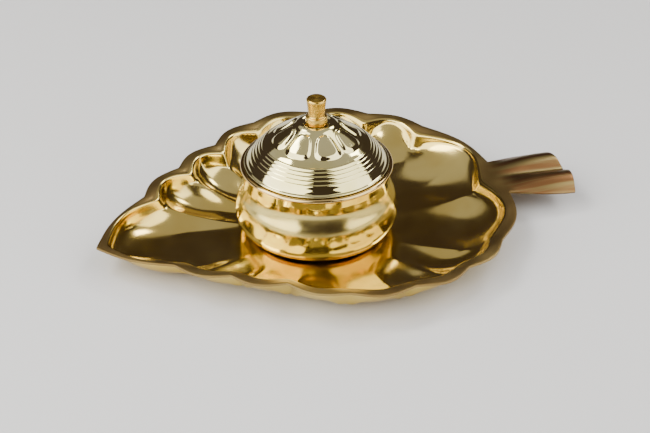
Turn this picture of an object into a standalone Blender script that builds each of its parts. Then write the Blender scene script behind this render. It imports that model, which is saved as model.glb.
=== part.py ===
# Kumkum box: a pot-bellied brass bowl with a lift-off lid, standing in a leaf-shaped tray.
# Everything is in metres, with +Z up. The origin is on the table, under the middle of the
# bowl, and +X runs along the leaf's midrib towards its stalk.

import math

import bmesh
import bpy
from mathutils import Matrix, Vector

MM = 0.001

# The air left between two pieces that rest on each other or fit in each other.
RESTING_GAP = 0.3 * MM

# Points of one piece closer than this are one point.
MERGE_DISTANCE = 0.002 * MM

# The leaf tray: one pressed sheet with a flat flange, scalloped walls and a fluted stalk.
SHEET_THICKNESS = 0.9 * MM
LEAF_LENGTH = 158.0 * MM
LEAF_HALF_SPAN = 65.2 * MM
TIP_TO_BOWL_AXIS = 85.0 * MM
TIP_SWEEP = 4.3 * MM
TIP_SWEEP_REACH = 60.0 * MM
FLANGE_HEIGHT = 13.0 * MM
FLANGE_DROOP = 3.0 * MM
FLANGE_TONGUE_REACH = 5.5 * MM
FLANGE_TONGUE_DIP = 1.2 * MM
TIP_FLANGE_WIDTH = 4.6 * MM
NECK_FLANGE_LENGTH = 8.0 * MM
NECK_HALF_WIDTH = 11.5 * MM
LOBE_COLUMNS = 8

# Where the notches lie between tip and neck, as shares of the leaf's length and half span.
NOTCH_LENGTH_SHARES = (0.152, 0.261, 0.372, 0.494, 0.646, 0.787, 0.903)
NOTCH_WIDTH_SHARES = (0.374, 0.598, 0.778, 0.972, 1.0, 0.896, 0.672)

# How far each lobe swells beyond the straight line between its notches, tip lobe first.
LOBE_BULGE_SHARES = (0.08, 0.15, 0.16, 0.16, 0.165, 0.175, 0.145, 0.11)
INNER_LOBE_BULGE_SHARES = (0.14, 0.205, 0.215, 0.215, 0.22, 0.23, 0.205, 0.225)
LOBE_ROUNDNESS_SHARE = 0.12

# The pan of each lobe: a rounded edge under the flange, then a hollow wall down to the floor.
PAN_EDGE_INNER_RADIUS = 0.4 * MM
PAN_EDGE_ANGLES = tuple(math.radians(turn) for turn in (0, 27, 53, 78))
PAN_WALL_REACH = 18.0 * MM
PAN_WALL_ANGLES = tuple(math.radians(turn) for turn in (8, 25, 41, 57, 73, 90))
PAN_FLOOR_SHARES = (0.45, 1.0)
STEEPEST_SLANT_SHARE = 0.62

# The ridge between two pans: a steep nose under the flange, then a keel that fades towards
# the bowl. The tables say how far the ridge has come and how high nose and keel are there.
RIDGE_REACH = 12.5 * MM
RIDGE_STEP_SHARES = (-0.128, -0.056, 0.016, 0.096, 0.184, 0.296, 0.448, 0.672, 1.0)
NOSE_SHARES = (1.0, 0.97, 0.84, 0.57, 0.33, 0.15, 0.05, 0.0, 0.0)
KEEL_SHARES = (1.0, 1.0, 1.0, 0.99, 0.97, 0.93, 0.86, 0.73, 0.52)
KEEL_END_SHARES = (0.2, 0.0)

# How much of its height each ridge keeps in its keel, from the tip round to the neck, on the
# left and on the right of the midrib. The longest keel fades as the table says, and lower
# ones fade sooner.
LEFT_KEEL_SHARES = (0.68, 0.68, 0.74, 0.45, 0.3, 0.25, 0.25, 0.3, 0.3)
RIGHT_KEEL_SHARES = (0.68, 0.42, 0.3, 0.25, 0.25, 0.25, 0.25, 0.3, 0.3)
LONGEST_KEEL_SHARE = 0.74
RIDGE_SHARPNESS = 2.1
RIDGE_ROUNDING_SHARE = 0.12

# The stalk: a fan with two big flutes. It dips towards its end, which is cut a little
# slantwise, with its far corner back.
STALK_LENGTH = 27.0 * MM
STALK_END_HALF_WIDTH = 15.6 * MM
STALK_END_DROP = 1.6 * MM
STALK_END_SLANT = 1.5 * MM
STALK_FLUTE_HEIGHT = 3.2 * MM
STALK_EDGE_DROP = 0.9 * MM
STALK_CORNER_LENGTH = 2.9 * MM
STALK_STEPS = 7
STALK_COLUMNS_PER_SIDE = 4

# The bowl: spun sheet with a rolled rim.
BOWL_WALL = 0.9 * MM
BOWL_SEAT_RADIUS = 22.0 * MM
BOWL_BELLY_RADIUS = 30.3 * MM
BOWL_HEIGHT = 28.2 * MM
RIM_BEAD_RADIUS = 0.9 * MM
RIM_OUTER_RADIUS = 28.4 * MM
RIM_OVERHANG = 1.2 * MM
RIM_BEAD_START = math.radians(-75)
RIM_BEAD_END = math.radians(190)
RIM_BEAD_STEPS = 7
BOWL_STEPS = 48

# The bowl's outside from seat to belly, and from belly to neck: how far the radius has gone
# from the one to the other, and the height as a share of the bowl's.
FOOT_RADIUS_SHARES = (0.27, 0.48, 0.64, 0.83, 1.0)
FOOT_HEIGHT_SHARES = (0.008, 0.03, 0.065, 0.135, 0.26)
SHOULDER_RADIUS_SHARES = (0.06, 0.3, 0.66, 0.94, 1.0)
SHOULDER_HEIGHT_SHARES = (0.418, 0.532, 0.631, 0.738, 0.844)

# The flat seat that the bowl stands on reaches a little beyond the bowl's base.
SEAT_END_MARGIN = 3.0 * MM
SEAT_SIDE_MARGIN = 2.0 * MM

# The knob: a turned grip over a collar, with a bore for its screw.
KNOB_HEIGHT = 10.5 * MM
KNOB_TOP_RADIUS = 3.72 * MM
KNOB_WAIST_RADIUS = 3.0 * MM
KNOB_CHAMFER = 0.5 * MM
KNOB_COLLAR_RADIUS = 4.0 * MM
KNOB_COLLAR_HEIGHT = 3.4 * MM
KNOB_FOOT_ROUND = 0.6 * MM
KNOB_TAPER_SHARES = (0.35, 0.7, 1.0)
KNOB_FLARE = 1.4
KNOB_STEPS = 32

# The knob's screw, put in from under the lid, and the depth left beyond its tip.
SCREW_RADIUS = 1.15 * MM
SCREW_GRIP = 4.2 * MM
SCREW_HEAD_RADIUS = 2.5 * MM
SCREW_HEAD_HEIGHT = 1.4 * MM
SCREW_CHAMFER = 0.4 * MM
SCREW_SLOT_WIDTH = 0.6 * MM
SCREW_SLOT_DEPTH = 0.7 * MM
CUT_OVERRUN = 1.0 * MM
BORE_SPARE_DEPTH = 1.8 * MM
SCREW_STEPS = 24

# The lid: pressed sheet with a crown, eight raised petals with grooves between them, five
# fine rings and a plug collar.
LID_SHEET = 0.8 * MM
LID_RISE = 16.9 * MM
LID_EDGE_SETBACK = 0.6 * MM
LID_EDGE_THICKNESS = 0.9 * MM
LID_EDGE_STEPS = 4
EDGE_LEDGE_WIDTH = 1.4 * MM
EDGE_NECK_RISE = 1.8 * MM
EDGE_GROOVE_WIDTH = 0.7 * MM
COLLAR_CLEARANCE = 0.5 * MM
COLLAR_DEPTH = 3.4 * MM
COLLAR_WALL = 0.8 * MM
DIMPLE_MARGIN = 0.4 * MM
DIMPLE_DEPTH = 1.0 * MM
CROWN_RING_WIDTH = 1.4 * MM
RING_COUNT = 5
RING_PITCH = 1.1 * MM
RING_HEIGHT = 0.35 * MM
RING_CURVE = 1.15
PETAL_COUNT = 8
PETAL_STEPS = 7
PETAL_GROOVE_DEPTH = 0.9 * MM
PETAL_CROWN_GAP = 2.4 * MM
PETAL_BAND_WIDTH = 2.7 * MM
PETAL_TURN = math.radians(22.5)
PETAL_STEEPNESS = 1.9
PETAL_ROUNDNESS = 0.7

# The lid's outside between crown and rings: how far out it has come, and how far down.
LID_SLOPE_RADIUS_SHARES = (0.096, 0.185, 0.296, 0.430, 0.563, 0.689, 0.785, 0.874)
LID_SLOPE_DROP_SHARES = (0.018, 0.07, 0.112, 0.175, 0.243, 0.314, 0.4, 0.447)
RING_START_DROP_SHARE = 0.509
RING_END_DROP_SHARE = 0.841

# Sizes and places that follow from the ones above.
PAN_EDGE_RADIUS = SHEET_THICKNESS + PAN_EDGE_INNER_RADIUS
NECK_TO_BOWL_AXIS = LEAF_LENGTH - TIP_TO_BOWL_AXIS
SEAT_HALF_LENGTH = BOWL_SEAT_RADIUS + SEAT_END_MARGIN
SEAT_HALF_WIDTH = BOWL_SEAT_RADIUS + SEAT_SIDE_MARGIN
NECK_RADIUS = RIM_OUTER_RADIUS - RIM_OVERHANG
RIM_BEAD_CENTRE = RIM_OUTER_RADIUS - RIM_BEAD_RADIUS
LID_EDGE_ROUND = LID_EDGE_THICKNESS / 2
LID_EDGE_CENTRE = RIM_BEAD_CENTRE - LID_EDGE_SETBACK - LID_EDGE_ROUND
COLLAR_RADIUS = NECK_RADIUS - BOWL_WALL - COLLAR_CLEARANCE
EDGE_NECK_RADIUS = LID_EDGE_CENTRE + LID_EDGE_ROUND - EDGE_LEDGE_WIDTH
RING_END_RADIUS = EDGE_NECK_RADIUS - EDGE_GROOVE_WIDTH
RING_START_RADIUS = RING_END_RADIUS - RING_COUNT * RING_PITCH
DIMPLE_RADIUS = KNOB_COLLAR_RADIUS + DIMPLE_MARGIN
CROWN_RADIUS = DIMPLE_RADIUS + CROWN_RING_WIDTH
PETAL_START_RADIUS = CROWN_RADIUS + PETAL_CROWN_GAP
PETAL_END_RADIUS = RING_START_RADIUS - PETAL_BAND_WIDTH

FLOOR_TOP = SHEET_THICKNESS
BOWL_BASE = FLOOR_TOP + RESTING_GAP
RIM_TOP = BOWL_BASE + BOWL_HEIGHT
RIM_BEAD_HEIGHT = RIM_TOP - RIM_BEAD_RADIUS

# The lid's round edge lies on the inner shoulder of the rim's bead.
LID_SEAT_REACH = RIM_BEAD_RADIUS + LID_EDGE_ROUND + RESTING_GAP
LID_SEAT_RISE = math.sqrt(LID_SEAT_REACH ** 2 - (RIM_BEAD_CENTRE - LID_EDGE_CENTRE) ** 2)
LID_EDGE_BASE = RIM_BEAD_HEIGHT + LID_SEAT_RISE - LID_EDGE_ROUND
CROWN_TOP = LID_EDGE_BASE + LID_RISE
DIMPLE_TOP = CROWN_TOP - DIMPLE_DEPTH
KNOB_BASE = DIMPLE_TOP + RESTING_GAP
SCREW_HEAD_TOP = DIMPLE_TOP - LID_SHEET - RESTING_GAP
SCREW_TIP = KNOB_BASE + SCREW_GRIP
SCREW_HOLE_RADIUS = SCREW_RADIUS + RESTING_GAP
KNOB_BORE_TOP = SCREW_TIP + BORE_SPARE_DEPTH


def clear_scene():
    for thing in list(bpy.data.objects):
        bpy.data.objects.remove(thing, do_unlink=True)


def metal(name, colour, roughness):
    """One metal surface: its colour and how dull it is."""
    material = bpy.data.materials.new(name)
    material.use_nodes = True
    surface = material.node_tree.nodes["Principled BSDF"]
    surface.inputs["Base Color"].default_value = (*colour, 1.0)
    surface.inputs["Metallic"].default_value = 1.0
    surface.inputs["Roughness"].default_value = roughness
    material.diffuse_color = (*colour, 1.0)
    return material


def add_piece(name, bm, material, sharp_angle=math.radians(35)):
    """Turn a finished bmesh into a named, smoothly shaded object."""
    mesh = bpy.data.meshes.new(name)
    bm.to_mesh(mesh)
    bm.free()
    mesh.shade_smooth()
    mesh.set_sharp_from_angle(angle=sharp_angle)
    mesh.materials.append(material)
    piece = bpy.data.objects.new(name, mesh)
    bpy.context.scene.collection.objects.link(piece)
    return piece


def spin_profile(profile, steps):
    """Spin a closed outline of (radius, height) points about Z into one closed skin."""
    bm = bmesh.new()
    verts = [bm.verts.new((radius, 0.0, height)) for radius, height in profile]
    on_axis = profile[0][0] == 0.0 and profile[-1][0] == 0.0
    edges = [bm.edges.new(pair) for pair in zip(verts, verts[1:])]
    if not on_axis:
        edges.append(bm.edges.new((verts[-1], verts[0])))
    bmesh.ops.spin(bm, geom=verts + edges, cent=(0.0, 0.0, 0.0), axis=(0.0, 0.0, 1.0),
                   angle=math.tau, steps=steps, use_merge=True, use_duplicate=False)
    bmesh.ops.remove_doubles(bm, verts=bm.verts, dist=MERGE_DISTANCE)
    bmesh.ops.recalc_face_normals(bm, faces=bm.faces)
    return bm


def round_arc(centre, radius, start, end, steps):
    """Points round part of a bead, from one angle to another, measured from outward."""
    points = []
    for step in range(steps + 1):
        turn = start + (end - start) * step / steps
        points.append((centre[0] + radius * math.cos(turn), centre[1] + radius * math.sin(turn)))
    return points


# The leaf outline is worked out in leaf stations: along the midrib from the tip, and out from it.

def leaf_point(station, offset):
    """A point of the leaf, with the tip swept a little to one side."""
    pull = max(0.0, 1.0 - station / TIP_SWEEP_REACH) ** 2
    return Vector((station - TIP_TO_BOWL_AXIS, offset - TIP_SWEEP * pull))


def outer_notches(side):
    """The flange's outer corners on one side: tip, seven notches, and the neck of the stalk."""
    points = [leaf_point(0.0, 0.0)]
    for along, out in zip(NOTCH_LENGTH_SHARES, NOTCH_WIDTH_SHARES):
        points.append(leaf_point(along * LEAF_LENGTH, side * out * LEAF_HALF_SPAN))
    points.append(leaf_point(LEAF_LENGTH, side * NECK_HALF_WIDTH))
    return points


def inner_notches(side):
    """Where the ridges meet the flange, at the ends of the tongues between the pans."""
    outer = outer_notches(side)
    tip = outer[0] - outer[0].normalized() * TIP_FLANGE_WIDTH
    points = [tip]
    for corner in outer[1:-1]:
        points.append(corner - corner.normalized() * FLANGE_TONGUE_REACH)
    points.append(Vector((NECK_TO_BOWL_AXIS - NECK_FLANGE_LENGTH, 0.0)))
    return points


def lobe_swell(share):
    """How far a lobe stands out along its length: a round arch with soft feet."""
    arch = math.sin(math.pi * share)
    return (1.0 - LOBE_ROUNDNESS_SHARE) * arch + LOBE_ROUNDNESS_SHARE * arch * arch


def lobe_point(start, end, bulge_share, share):
    """A point on the arc from one notch to the next, bulging away from the bowl."""
    chord = end - start
    out = Vector((chord.y, -chord.x)).normalized()
    middle = (start + end) / 2
    if out.dot(middle) < 0.0:
        out = -out
    return start + chord * share + out * chord.length * bulge_share * lobe_swell(share)


def flange_height(point):
    """The flange arches a little: it is highest beside the bowl and lower at tip and neck."""
    half = LEAF_LENGTH / 2
    along = (point.x + TIP_TO_BOWL_AXIS - half) / half
    return FLANGE_HEIGHT - FLANGE_DROOP * along * along


def seat_point(angle):
    return Vector((SEAT_HALF_LENGTH * math.cos(angle), SEAT_HALF_WIDTH * math.sin(angle)))


def pan_rows(height, length, slant):
    """Distance in from the flange and height over the floor, down the middle of a pan."""
    rows = []
    radius = PAN_EDGE_RADIUS
    for turn in PAN_EDGE_ANGLES:
        rows.append((radius * (math.sin(turn) - 1.0), height - radius * (1.0 - math.cos(turn))))
    start_height = rows[-1][1]
    reach = min(PAN_WALL_REACH / slant, length)
    first = PAN_WALL_ANGLES[0]
    for turn in PAN_WALL_ANGLES[1:]:
        along = (math.cos(first) - math.cos(turn)) / math.cos(first)
        down = (1.0 - math.sin(turn)) / (1.0 - math.sin(first))
        rows.append((reach * along, start_height * down))
    for share in PAN_FLOOR_SHARES:
        rows.append((reach + (length - reach) * share, 0.0))
    return rows


def ridge_rows(height, length, keel_share):
    """The same rows along the crest of a ridge, which fades out at the bowl's seat."""
    rows = []
    fade = LONGEST_KEEL_SHARE / keel_share
    for step_share, nose, keel in zip(RIDGE_STEP_SHARES, NOSE_SHARES, KEEL_SHARES):
        height_share = nose + keel_share * (keel ** fade - nose)
        rows.append((RIDGE_REACH * step_share, height * height_share))
    for share, keel in zip(PAN_FLOOR_SHARES, KEEL_END_SHARES):
        distance = RIDGE_REACH + (length - RIDGE_REACH) * share
        rows.append((distance, height * keel_share * keel ** fade))
    return rows


def ridge_weight(share, ridge_at_start, ridge_at_end):
    """One on a ridge, falling to nothing in the middle of the pan."""
    weight = 0.0
    for distance, present in ((share, ridge_at_start), (1.0 - share, ridge_at_end)):
        if not present:
            continue
        rounded = math.hypot(2.0 * distance, RIDGE_ROUNDING_SHARE) - RIDGE_ROUNDING_SHARE
        weight = max(weight, max(0.0, 1.0 - rounded) ** RIDGE_SHARPNESS)
    return weight


def pan_column(rim, seat, slant, weight, keel_share):
    """Points from the flange's inner edge down into the pan and along its floor to the seat."""
    inward = (seat - rim).normalized()
    length = (seat - rim).length
    height = flange_height(rim) - FLOOR_TOP - FLANGE_TONGUE_DIP * weight
    points = []
    ridge_line = ridge_rows(height, length, keel_share)
    for pan, ridge in zip(pan_rows(height, length, slant), ridge_line):
        distance = pan[0] + (ridge[0] - pan[0]) * weight
        rise = pan[1] + (ridge[1] - pan[1]) * weight
        place = rim + inward * distance
        points.append((place.x, place.y, FLOOR_TOP + rise))
    return points


def side_columns(side):
    """Columns from tip to neck: each holds its flange edge and the rows inside it."""
    outer = outer_notches(side)
    inner = inner_notches(side)
    keel_shares = LEFT_KEEL_SHARES if side > 0.0 else RIGHT_KEEL_SHARES
    columns = []
    for lobe in range(len(outer) - 1):
        last_lobe = lobe == len(outer) - 2
        count = LOBE_COLUMNS + (STALK_COLUMNS_PER_SIDE if last_lobe else 0)
        start_angle = math.atan2(inner[lobe].y, inner[lobe].x)
        end_angle = math.atan2(inner[lobe + 1].y, inner[lobe + 1].x)
        if lobe == 0:
            start_angle = side * math.pi
        chord = (inner[lobe + 1] - inner[lobe]).normalized()
        for step in range(count if not last_lobe else count + 1):
            share = step / count
            edge_share = min(1.0, step / LOBE_COLUMNS)
            edge = lobe_point(outer[lobe], outer[lobe + 1], LOBE_BULGE_SHARES[lobe], edge_share)
            if step > LOBE_COLUMNS:
                across = (step - LOBE_COLUMNS) / STALK_COLUMNS_PER_SIDE
                edge = outer[-1].lerp(Vector((outer[-1].x, 0.0)), across)
            rim = lobe_point(inner[lobe], inner[lobe + 1], INNER_LOBE_BULGE_SHARES[lobe], share)
            seat = seat_point(start_angle + (end_angle - start_angle) * share)
            slant = max(abs(chord.cross((seat - rim).normalized())), STEEPEST_SLANT_SHARE)
            weight = ridge_weight(share, lobe > 0, True)
            keels = keel_shares[lobe:lobe + 2]
            keel_share = keels[0] + (keels[1] - keels[0]) * share
            flange = [(edge.x, edge.y, flange_height(edge))]
            columns.append(flange + pan_column(rim, seat, slant, weight, keel_share))
    return columns


def stalk_rows():
    """Rows of points across the stalk, from the neck out to its free end."""
    neck_height = flange_height(Vector((NECK_TO_BOWL_AXIS, 0.0)))
    rows = []
    for step in range(1, STALK_STEPS + 1):
        share = step / STALK_STEPS
        swell = math.sin(share * math.pi / 2)
        half = NECK_HALF_WIDTH + (STALK_END_HALF_WIDTH - NECK_HALF_WIDTH) * swell
        row = []
        for column in range(-STALK_COLUMNS_PER_SIDE, STALK_COLUMNS_PER_SIDE + 1):
            across = column / STALK_COLUMNS_PER_SIDE
            corner = STALK_CORNER_LENGTH * across * across
            length = (STALK_LENGTH - corner + STALK_END_SLANT * across) * share
            flute = math.sin(math.pi * abs(across))
            rise = swell * (STALK_FLUTE_HEIGHT * flute - STALK_EDGE_DROP * across * across)
            height = neck_height + rise - STALK_END_DROP * share
            row.append((NECK_TO_BOWL_AXIS + length, -half * across, height))
        rows.append(row)
    return rows


def tray_skin():
    """The tray's upper skin: the leaf as a ring of columns, its seat, and the stalk."""
    left = side_columns(1.0)
    right = side_columns(-1.0)
    # Once round the leaf: up the left side, then back down the right one without repeats.
    columns = left + right[-2:0:-1]
    bm = bmesh.new()
    grid = [[bm.verts.new(point) for point in column] for column in columns]
    count = len(grid)
    for index, column in enumerate(grid):
        following = grid[(index + 1) % count]
        for row in range(len(column) - 1):
            bm.faces.new((column[row], following[row], following[row + 1], column[row + 1]))
    bm.faces.new([column[-1] for column in grid])
    middle = len(left) - 1
    across = range(middle - STALK_COLUMNS_PER_SIDE, middle + STALK_COLUMNS_PER_SIDE + 1)
    previous = [grid[index][0] for index in across]
    for row in stalk_rows():
        current = [bm.verts.new(point) for point in row]
        for near, far in zip(zip(previous, previous[1:]), zip(current, current[1:])):
            bm.faces.new((near[0], near[1], far[1], far[0]))
        previous = current
    bmesh.ops.recalc_face_normals(bm, faces=bm.faces)
    if sum(face.normal.z * face.calc_area() for face in bm.faces) < 0.0:
        bmesh.ops.reverse_faces(bm, faces=bm.faces)
    return bm


def add_tray(material):
    """The leaf tray's skin, thickened downwards into a sheet."""
    tray = add_piece("leaf_tray", tray_skin(), material, math.radians(50))
    sheet = tray.modifiers.new("Sheet thickness", "SOLIDIFY")
    sheet.thickness = SHEET_THICKNESS
    sheet.offset = -1.0
    sheet.use_even_offset = True
    return tray


def bowl_outside():
    """The bowl's outside from the edge of its base up to its neck."""
    points = [(BOWL_SEAT_RADIUS, BOWL_BASE)]
    for share, height_share in zip(FOOT_RADIUS_SHARES, FOOT_HEIGHT_SHARES):
        radius = BOWL_SEAT_RADIUS + (BOWL_BELLY_RADIUS - BOWL_SEAT_RADIUS) * share
        points.append((radius, BOWL_BASE + BOWL_HEIGHT * height_share))
    for share, height_share in zip(SHOULDER_RADIUS_SHARES, SHOULDER_HEIGHT_SHARES):
        radius = BOWL_BELLY_RADIUS + (NECK_RADIUS - BOWL_BELLY_RADIUS) * share
        points.append((radius, BOWL_BASE + BOWL_HEIGHT * height_share))
    return points


def bowl_profile():
    """The bowl's closed outline from the middle of its base, up outside, and down inside."""
    outside = bowl_outside()
    rim = round_arc((RIM_BEAD_CENTRE, RIM_BEAD_HEIGHT), RIM_BEAD_RADIUS, RIM_BEAD_START,
                    RIM_BEAD_END, RIM_BEAD_STEPS)
    inside = []
    for index in range(len(outside) - 1, 0, -2):
        before = Vector(outside[index - 1])
        after = Vector(outside[min(index + 1, len(outside) - 1)])
        along = (after - before).normalized()
        place = Vector(outside[index]) + Vector((-along.y, along.x)) * BOWL_WALL
        inside.append((place.x, place.y))
    floor = [(BOWL_SEAT_RADIUS, BOWL_BASE + BOWL_WALL), (0.0, BOWL_BASE + BOWL_WALL)]
    return [(0.0, BOWL_BASE)] + outside + rim + inside + floor


def add_bowl(material):
    return add_piece("bowl", spin_profile(bowl_profile(), BOWL_STEPS), material)


def lid_slope():
    """The lid's outside from its dimple and crown down to the first ring."""
    points = [(DIMPLE_RADIUS, DIMPLE_TOP), (CROWN_RADIUS, CROWN_TOP)]
    span = RING_START_RADIUS - CROWN_RADIUS
    for radius_share, drop_share in zip(LID_SLOPE_RADIUS_SHARES, LID_SLOPE_DROP_SHARES):
        points.append((CROWN_RADIUS + span * radius_share, CROWN_TOP - LID_RISE * drop_share))
    return points


def lid_rings():
    """Five fine rings on the lid's skirt, each a crest between two valleys."""
    points = []
    steps = 2 * RING_COUNT
    drop_span = RING_END_DROP_SHARE - RING_START_DROP_SHARE
    for step in range(steps + 1):
        share = step / steps
        radius = RING_START_RADIUS + (RING_END_RADIUS - RING_START_RADIUS) * share
        drop = RING_START_DROP_SHARE + drop_span * share ** RING_CURVE
        crest = RING_HEIGHT if step % 2 else 0.0
        points.append((radius, CROWN_TOP - LID_RISE * drop + crest))
    return points


def lid_profile():
    """The lid's closed outline: hole, crown, slope, rings, edge, collar, and back inside."""
    slope = lid_slope()
    rings = lid_rings()
    neck = [(EDGE_NECK_RADIUS, LID_EDGE_BASE + EDGE_NECK_RISE)]
    edge = round_arc((LID_EDGE_CENTRE, LID_EDGE_BASE + LID_EDGE_ROUND), LID_EDGE_ROUND,
                     math.pi / 2, -math.pi / 2, LID_EDGE_STEPS)
    collar_inside = COLLAR_RADIUS - COLLAR_WALL
    collar_end = LID_EDGE_BASE - COLLAR_DEPTH
    collar = [(COLLAR_RADIUS, LID_EDGE_BASE), (COLLAR_RADIUS, collar_end),
              (collar_inside, collar_end), (collar_inside, LID_EDGE_BASE + LID_EDGE_THICKNESS)]
    under_rings = []
    for radius, height in (rings[-1], rings[RING_COUNT], rings[0]):
        under_rings.append((radius - LID_SHEET, height - LID_SHEET - RING_HEIGHT / 2))
    under_slope = []
    for radius, height in slope[::-2]:
        under_slope.append((radius - LID_SHEET / 2, height - LID_SHEET))
    hole = [(SCREW_HOLE_RADIUS, DIMPLE_TOP - LID_SHEET), (SCREW_HOLE_RADIUS, DIMPLE_TOP)]
    return slope + rings + neck + edge + collar + under_rings + under_slope + hole


def petal_groove(radius, angle):
    """How deep the grooves between the eight petals are here: nothing on a petal's back."""
    if not PETAL_START_RADIUS < radius < PETAL_END_RADIUS:
        return 0.0
    along = (radius - PETAL_START_RADIUS) / (PETAL_END_RADIUS - PETAL_START_RADIUS)
    across = abs(math.sin(PETAL_COUNT * angle / 2))
    length_share = math.sin(math.pi * along) ** PETAL_ROUNDNESS
    return PETAL_GROOVE_DEPTH * length_share * (1.0 - min(1.0, across * PETAL_STEEPNESS))


def add_lid(material):
    """The lid is spun first, then the grooves that part its petals are pressed in."""
    bm = spin_profile(lid_profile(), PETAL_COUNT * PETAL_STEPS)
    for vert in bm.verts:
        radius = math.hypot(vert.co.x, vert.co.y)
        if vert.co.z > CROWN_TOP - LID_RISE * RING_START_DROP_SHARE:
            vert.co.z -= petal_groove(radius, math.atan2(vert.co.y, vert.co.x))
    turn = Matrix.Rotation(PETAL_TURN, 3, "Z")
    bmesh.ops.rotate(bm, verts=bm.verts, cent=(0.0, 0.0, 0.0), matrix=turn)
    return add_piece("lid", bm, material)


def knob_profile():
    """The knob's closed outline: from its bore round its outside, and back up to the bore."""
    collar_top = KNOB_BASE + KNOB_COLLAR_HEIGHT
    top = KNOB_BASE + KNOB_HEIGHT
    bore = SCREW_HOLE_RADIUS
    points = [(0.0, KNOB_BORE_TOP), (bore, KNOB_BORE_TOP), (bore, KNOB_BASE),
              (KNOB_COLLAR_RADIUS - KNOB_FOOT_ROUND, KNOB_BASE),
              (KNOB_COLLAR_RADIUS, KNOB_BASE + KNOB_FOOT_ROUND),
              (KNOB_COLLAR_RADIUS, collar_top - KNOB_CHAMFER),
              (KNOB_COLLAR_RADIUS - KNOB_CHAMFER, collar_top),
              (KNOB_WAIST_RADIUS, collar_top)]
    for share in KNOB_TAPER_SHARES:
        radius = KNOB_WAIST_RADIUS + (KNOB_TOP_RADIUS - KNOB_WAIST_RADIUS) * share ** KNOB_FLARE
        points.append((radius, collar_top + (top - KNOB_CHAMFER - collar_top) * share))
    points.append((KNOB_TOP_RADIUS - KNOB_CHAMFER, top))
    points.append((0.0, top))
    return points


def add_knob(material):
    return add_piece("knob", spin_profile(knob_profile(), KNOB_STEPS), material)


def screw_profile():
    """The screw's closed outline: head, shank and blunt tip."""
    head_base = SCREW_HEAD_TOP - SCREW_HEAD_HEIGHT
    return [(0.0, head_base), (SCREW_HEAD_RADIUS - SCREW_CHAMFER, head_base),
            (SCREW_HEAD_RADIUS, head_base + SCREW_CHAMFER), (SCREW_HEAD_RADIUS, SCREW_HEAD_TOP),
            (SCREW_RADIUS, SCREW_HEAD_TOP), (SCREW_RADIUS, SCREW_TIP - SCREW_CHAMFER),
            (SCREW_RADIUS - SCREW_CHAMFER, SCREW_TIP), (0.0, SCREW_TIP)]


def slot_cutter(material):
    """A bar right across the screw's head, as deep as the driver slot."""
    length = 2 * (SCREW_HEAD_RADIUS + CUT_OVERRUN)
    depth = SCREW_SLOT_DEPTH + CUT_OVERRUN
    middle = SCREW_HEAD_TOP - SCREW_HEAD_HEIGHT + SCREW_SLOT_DEPTH - depth / 2
    bm = bmesh.new()
    bmesh.ops.create_cube(bm, size=1.0)
    bmesh.ops.scale(bm, vec=(SCREW_SLOT_WIDTH, length, depth), verts=bm.verts)
    bmesh.ops.translate(bm, vec=(0.0, 0.0, middle), verts=bm.verts)
    cutter = add_piece("slot_cutter", bm, material)
    cutter.hide_render = True
    cutter.display_type = "WIRE"
    return cutter


def add_screw(material):
    screw = add_piece("knob_screw", spin_profile(screw_profile(), SCREW_STEPS), material)
    slot = screw.modifiers.new("Driver slot", "BOOLEAN")
    slot.operation = "DIFFERENCE"
    slot.solver = "EXACT"
    slot.object = slot_cutter(material)
    return screw


def build():
    clear_scene()
    add_tray(metal("Tray brass", (0.72, 0.52, 0.20), 0.10))
    add_bowl(metal("Bowl brass", (0.78, 0.58, 0.22), 0.08))
    add_lid(metal("Pale lid brass", (0.80, 0.72, 0.50), 0.07))
    add_knob(metal("Satin knob brass", (0.75, 0.50, 0.16), 0.30))
    add_screw(metal("Screw steel", (0.62, 0.61, 0.58), 0.30))


build()
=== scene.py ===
# %% [markdown]
# A kumkum box in its leaf tray
#
# The object is puja ware of polished brass: a small pot-bellied bowl for red powder, its lid
# with petals and a turned knob, and a tray pressed from one sheet in the shape of a leaf.
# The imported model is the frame: it says where every piece is and what moves with what. This
# script gives each piece its fine surface and its finish, inside that frame.

# %% Load the frame and keep its box
import math

import bmesh
import bpy
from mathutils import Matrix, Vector, noise


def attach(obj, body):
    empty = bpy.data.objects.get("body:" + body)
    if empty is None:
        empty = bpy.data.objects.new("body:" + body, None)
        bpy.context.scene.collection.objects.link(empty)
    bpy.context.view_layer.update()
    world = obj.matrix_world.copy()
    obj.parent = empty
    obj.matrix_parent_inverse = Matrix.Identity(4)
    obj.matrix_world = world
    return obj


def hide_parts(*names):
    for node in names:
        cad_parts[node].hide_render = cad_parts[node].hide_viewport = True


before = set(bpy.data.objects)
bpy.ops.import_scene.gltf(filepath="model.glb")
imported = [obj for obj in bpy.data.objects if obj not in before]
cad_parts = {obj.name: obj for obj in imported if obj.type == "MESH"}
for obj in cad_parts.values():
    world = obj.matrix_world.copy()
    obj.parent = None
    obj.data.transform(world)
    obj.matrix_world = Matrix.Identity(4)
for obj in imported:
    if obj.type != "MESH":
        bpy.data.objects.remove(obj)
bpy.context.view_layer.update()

MM = 0.001

# %% [markdown]
# The camera comes first. The photograph was taken from a little left of the leaf's middle,
# looking down about 32 degrees with a long lens, which keeps the leaf's far edge nearly as
# large as its near one. The place and direction were found by fitting the leaf's outline.

# %% Set up the camera
CAMERA_PLACE = Vector((-187.84, -621.15, 411.10)) * MM
CAMERA_LOOK = Vector((0.24932, 0.81033, -0.53028))
CAMERA_LENS = 112.52
SENSOR_WIDTH = 36.0
NEAREST_SEEN = 10.0 * MM


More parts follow.
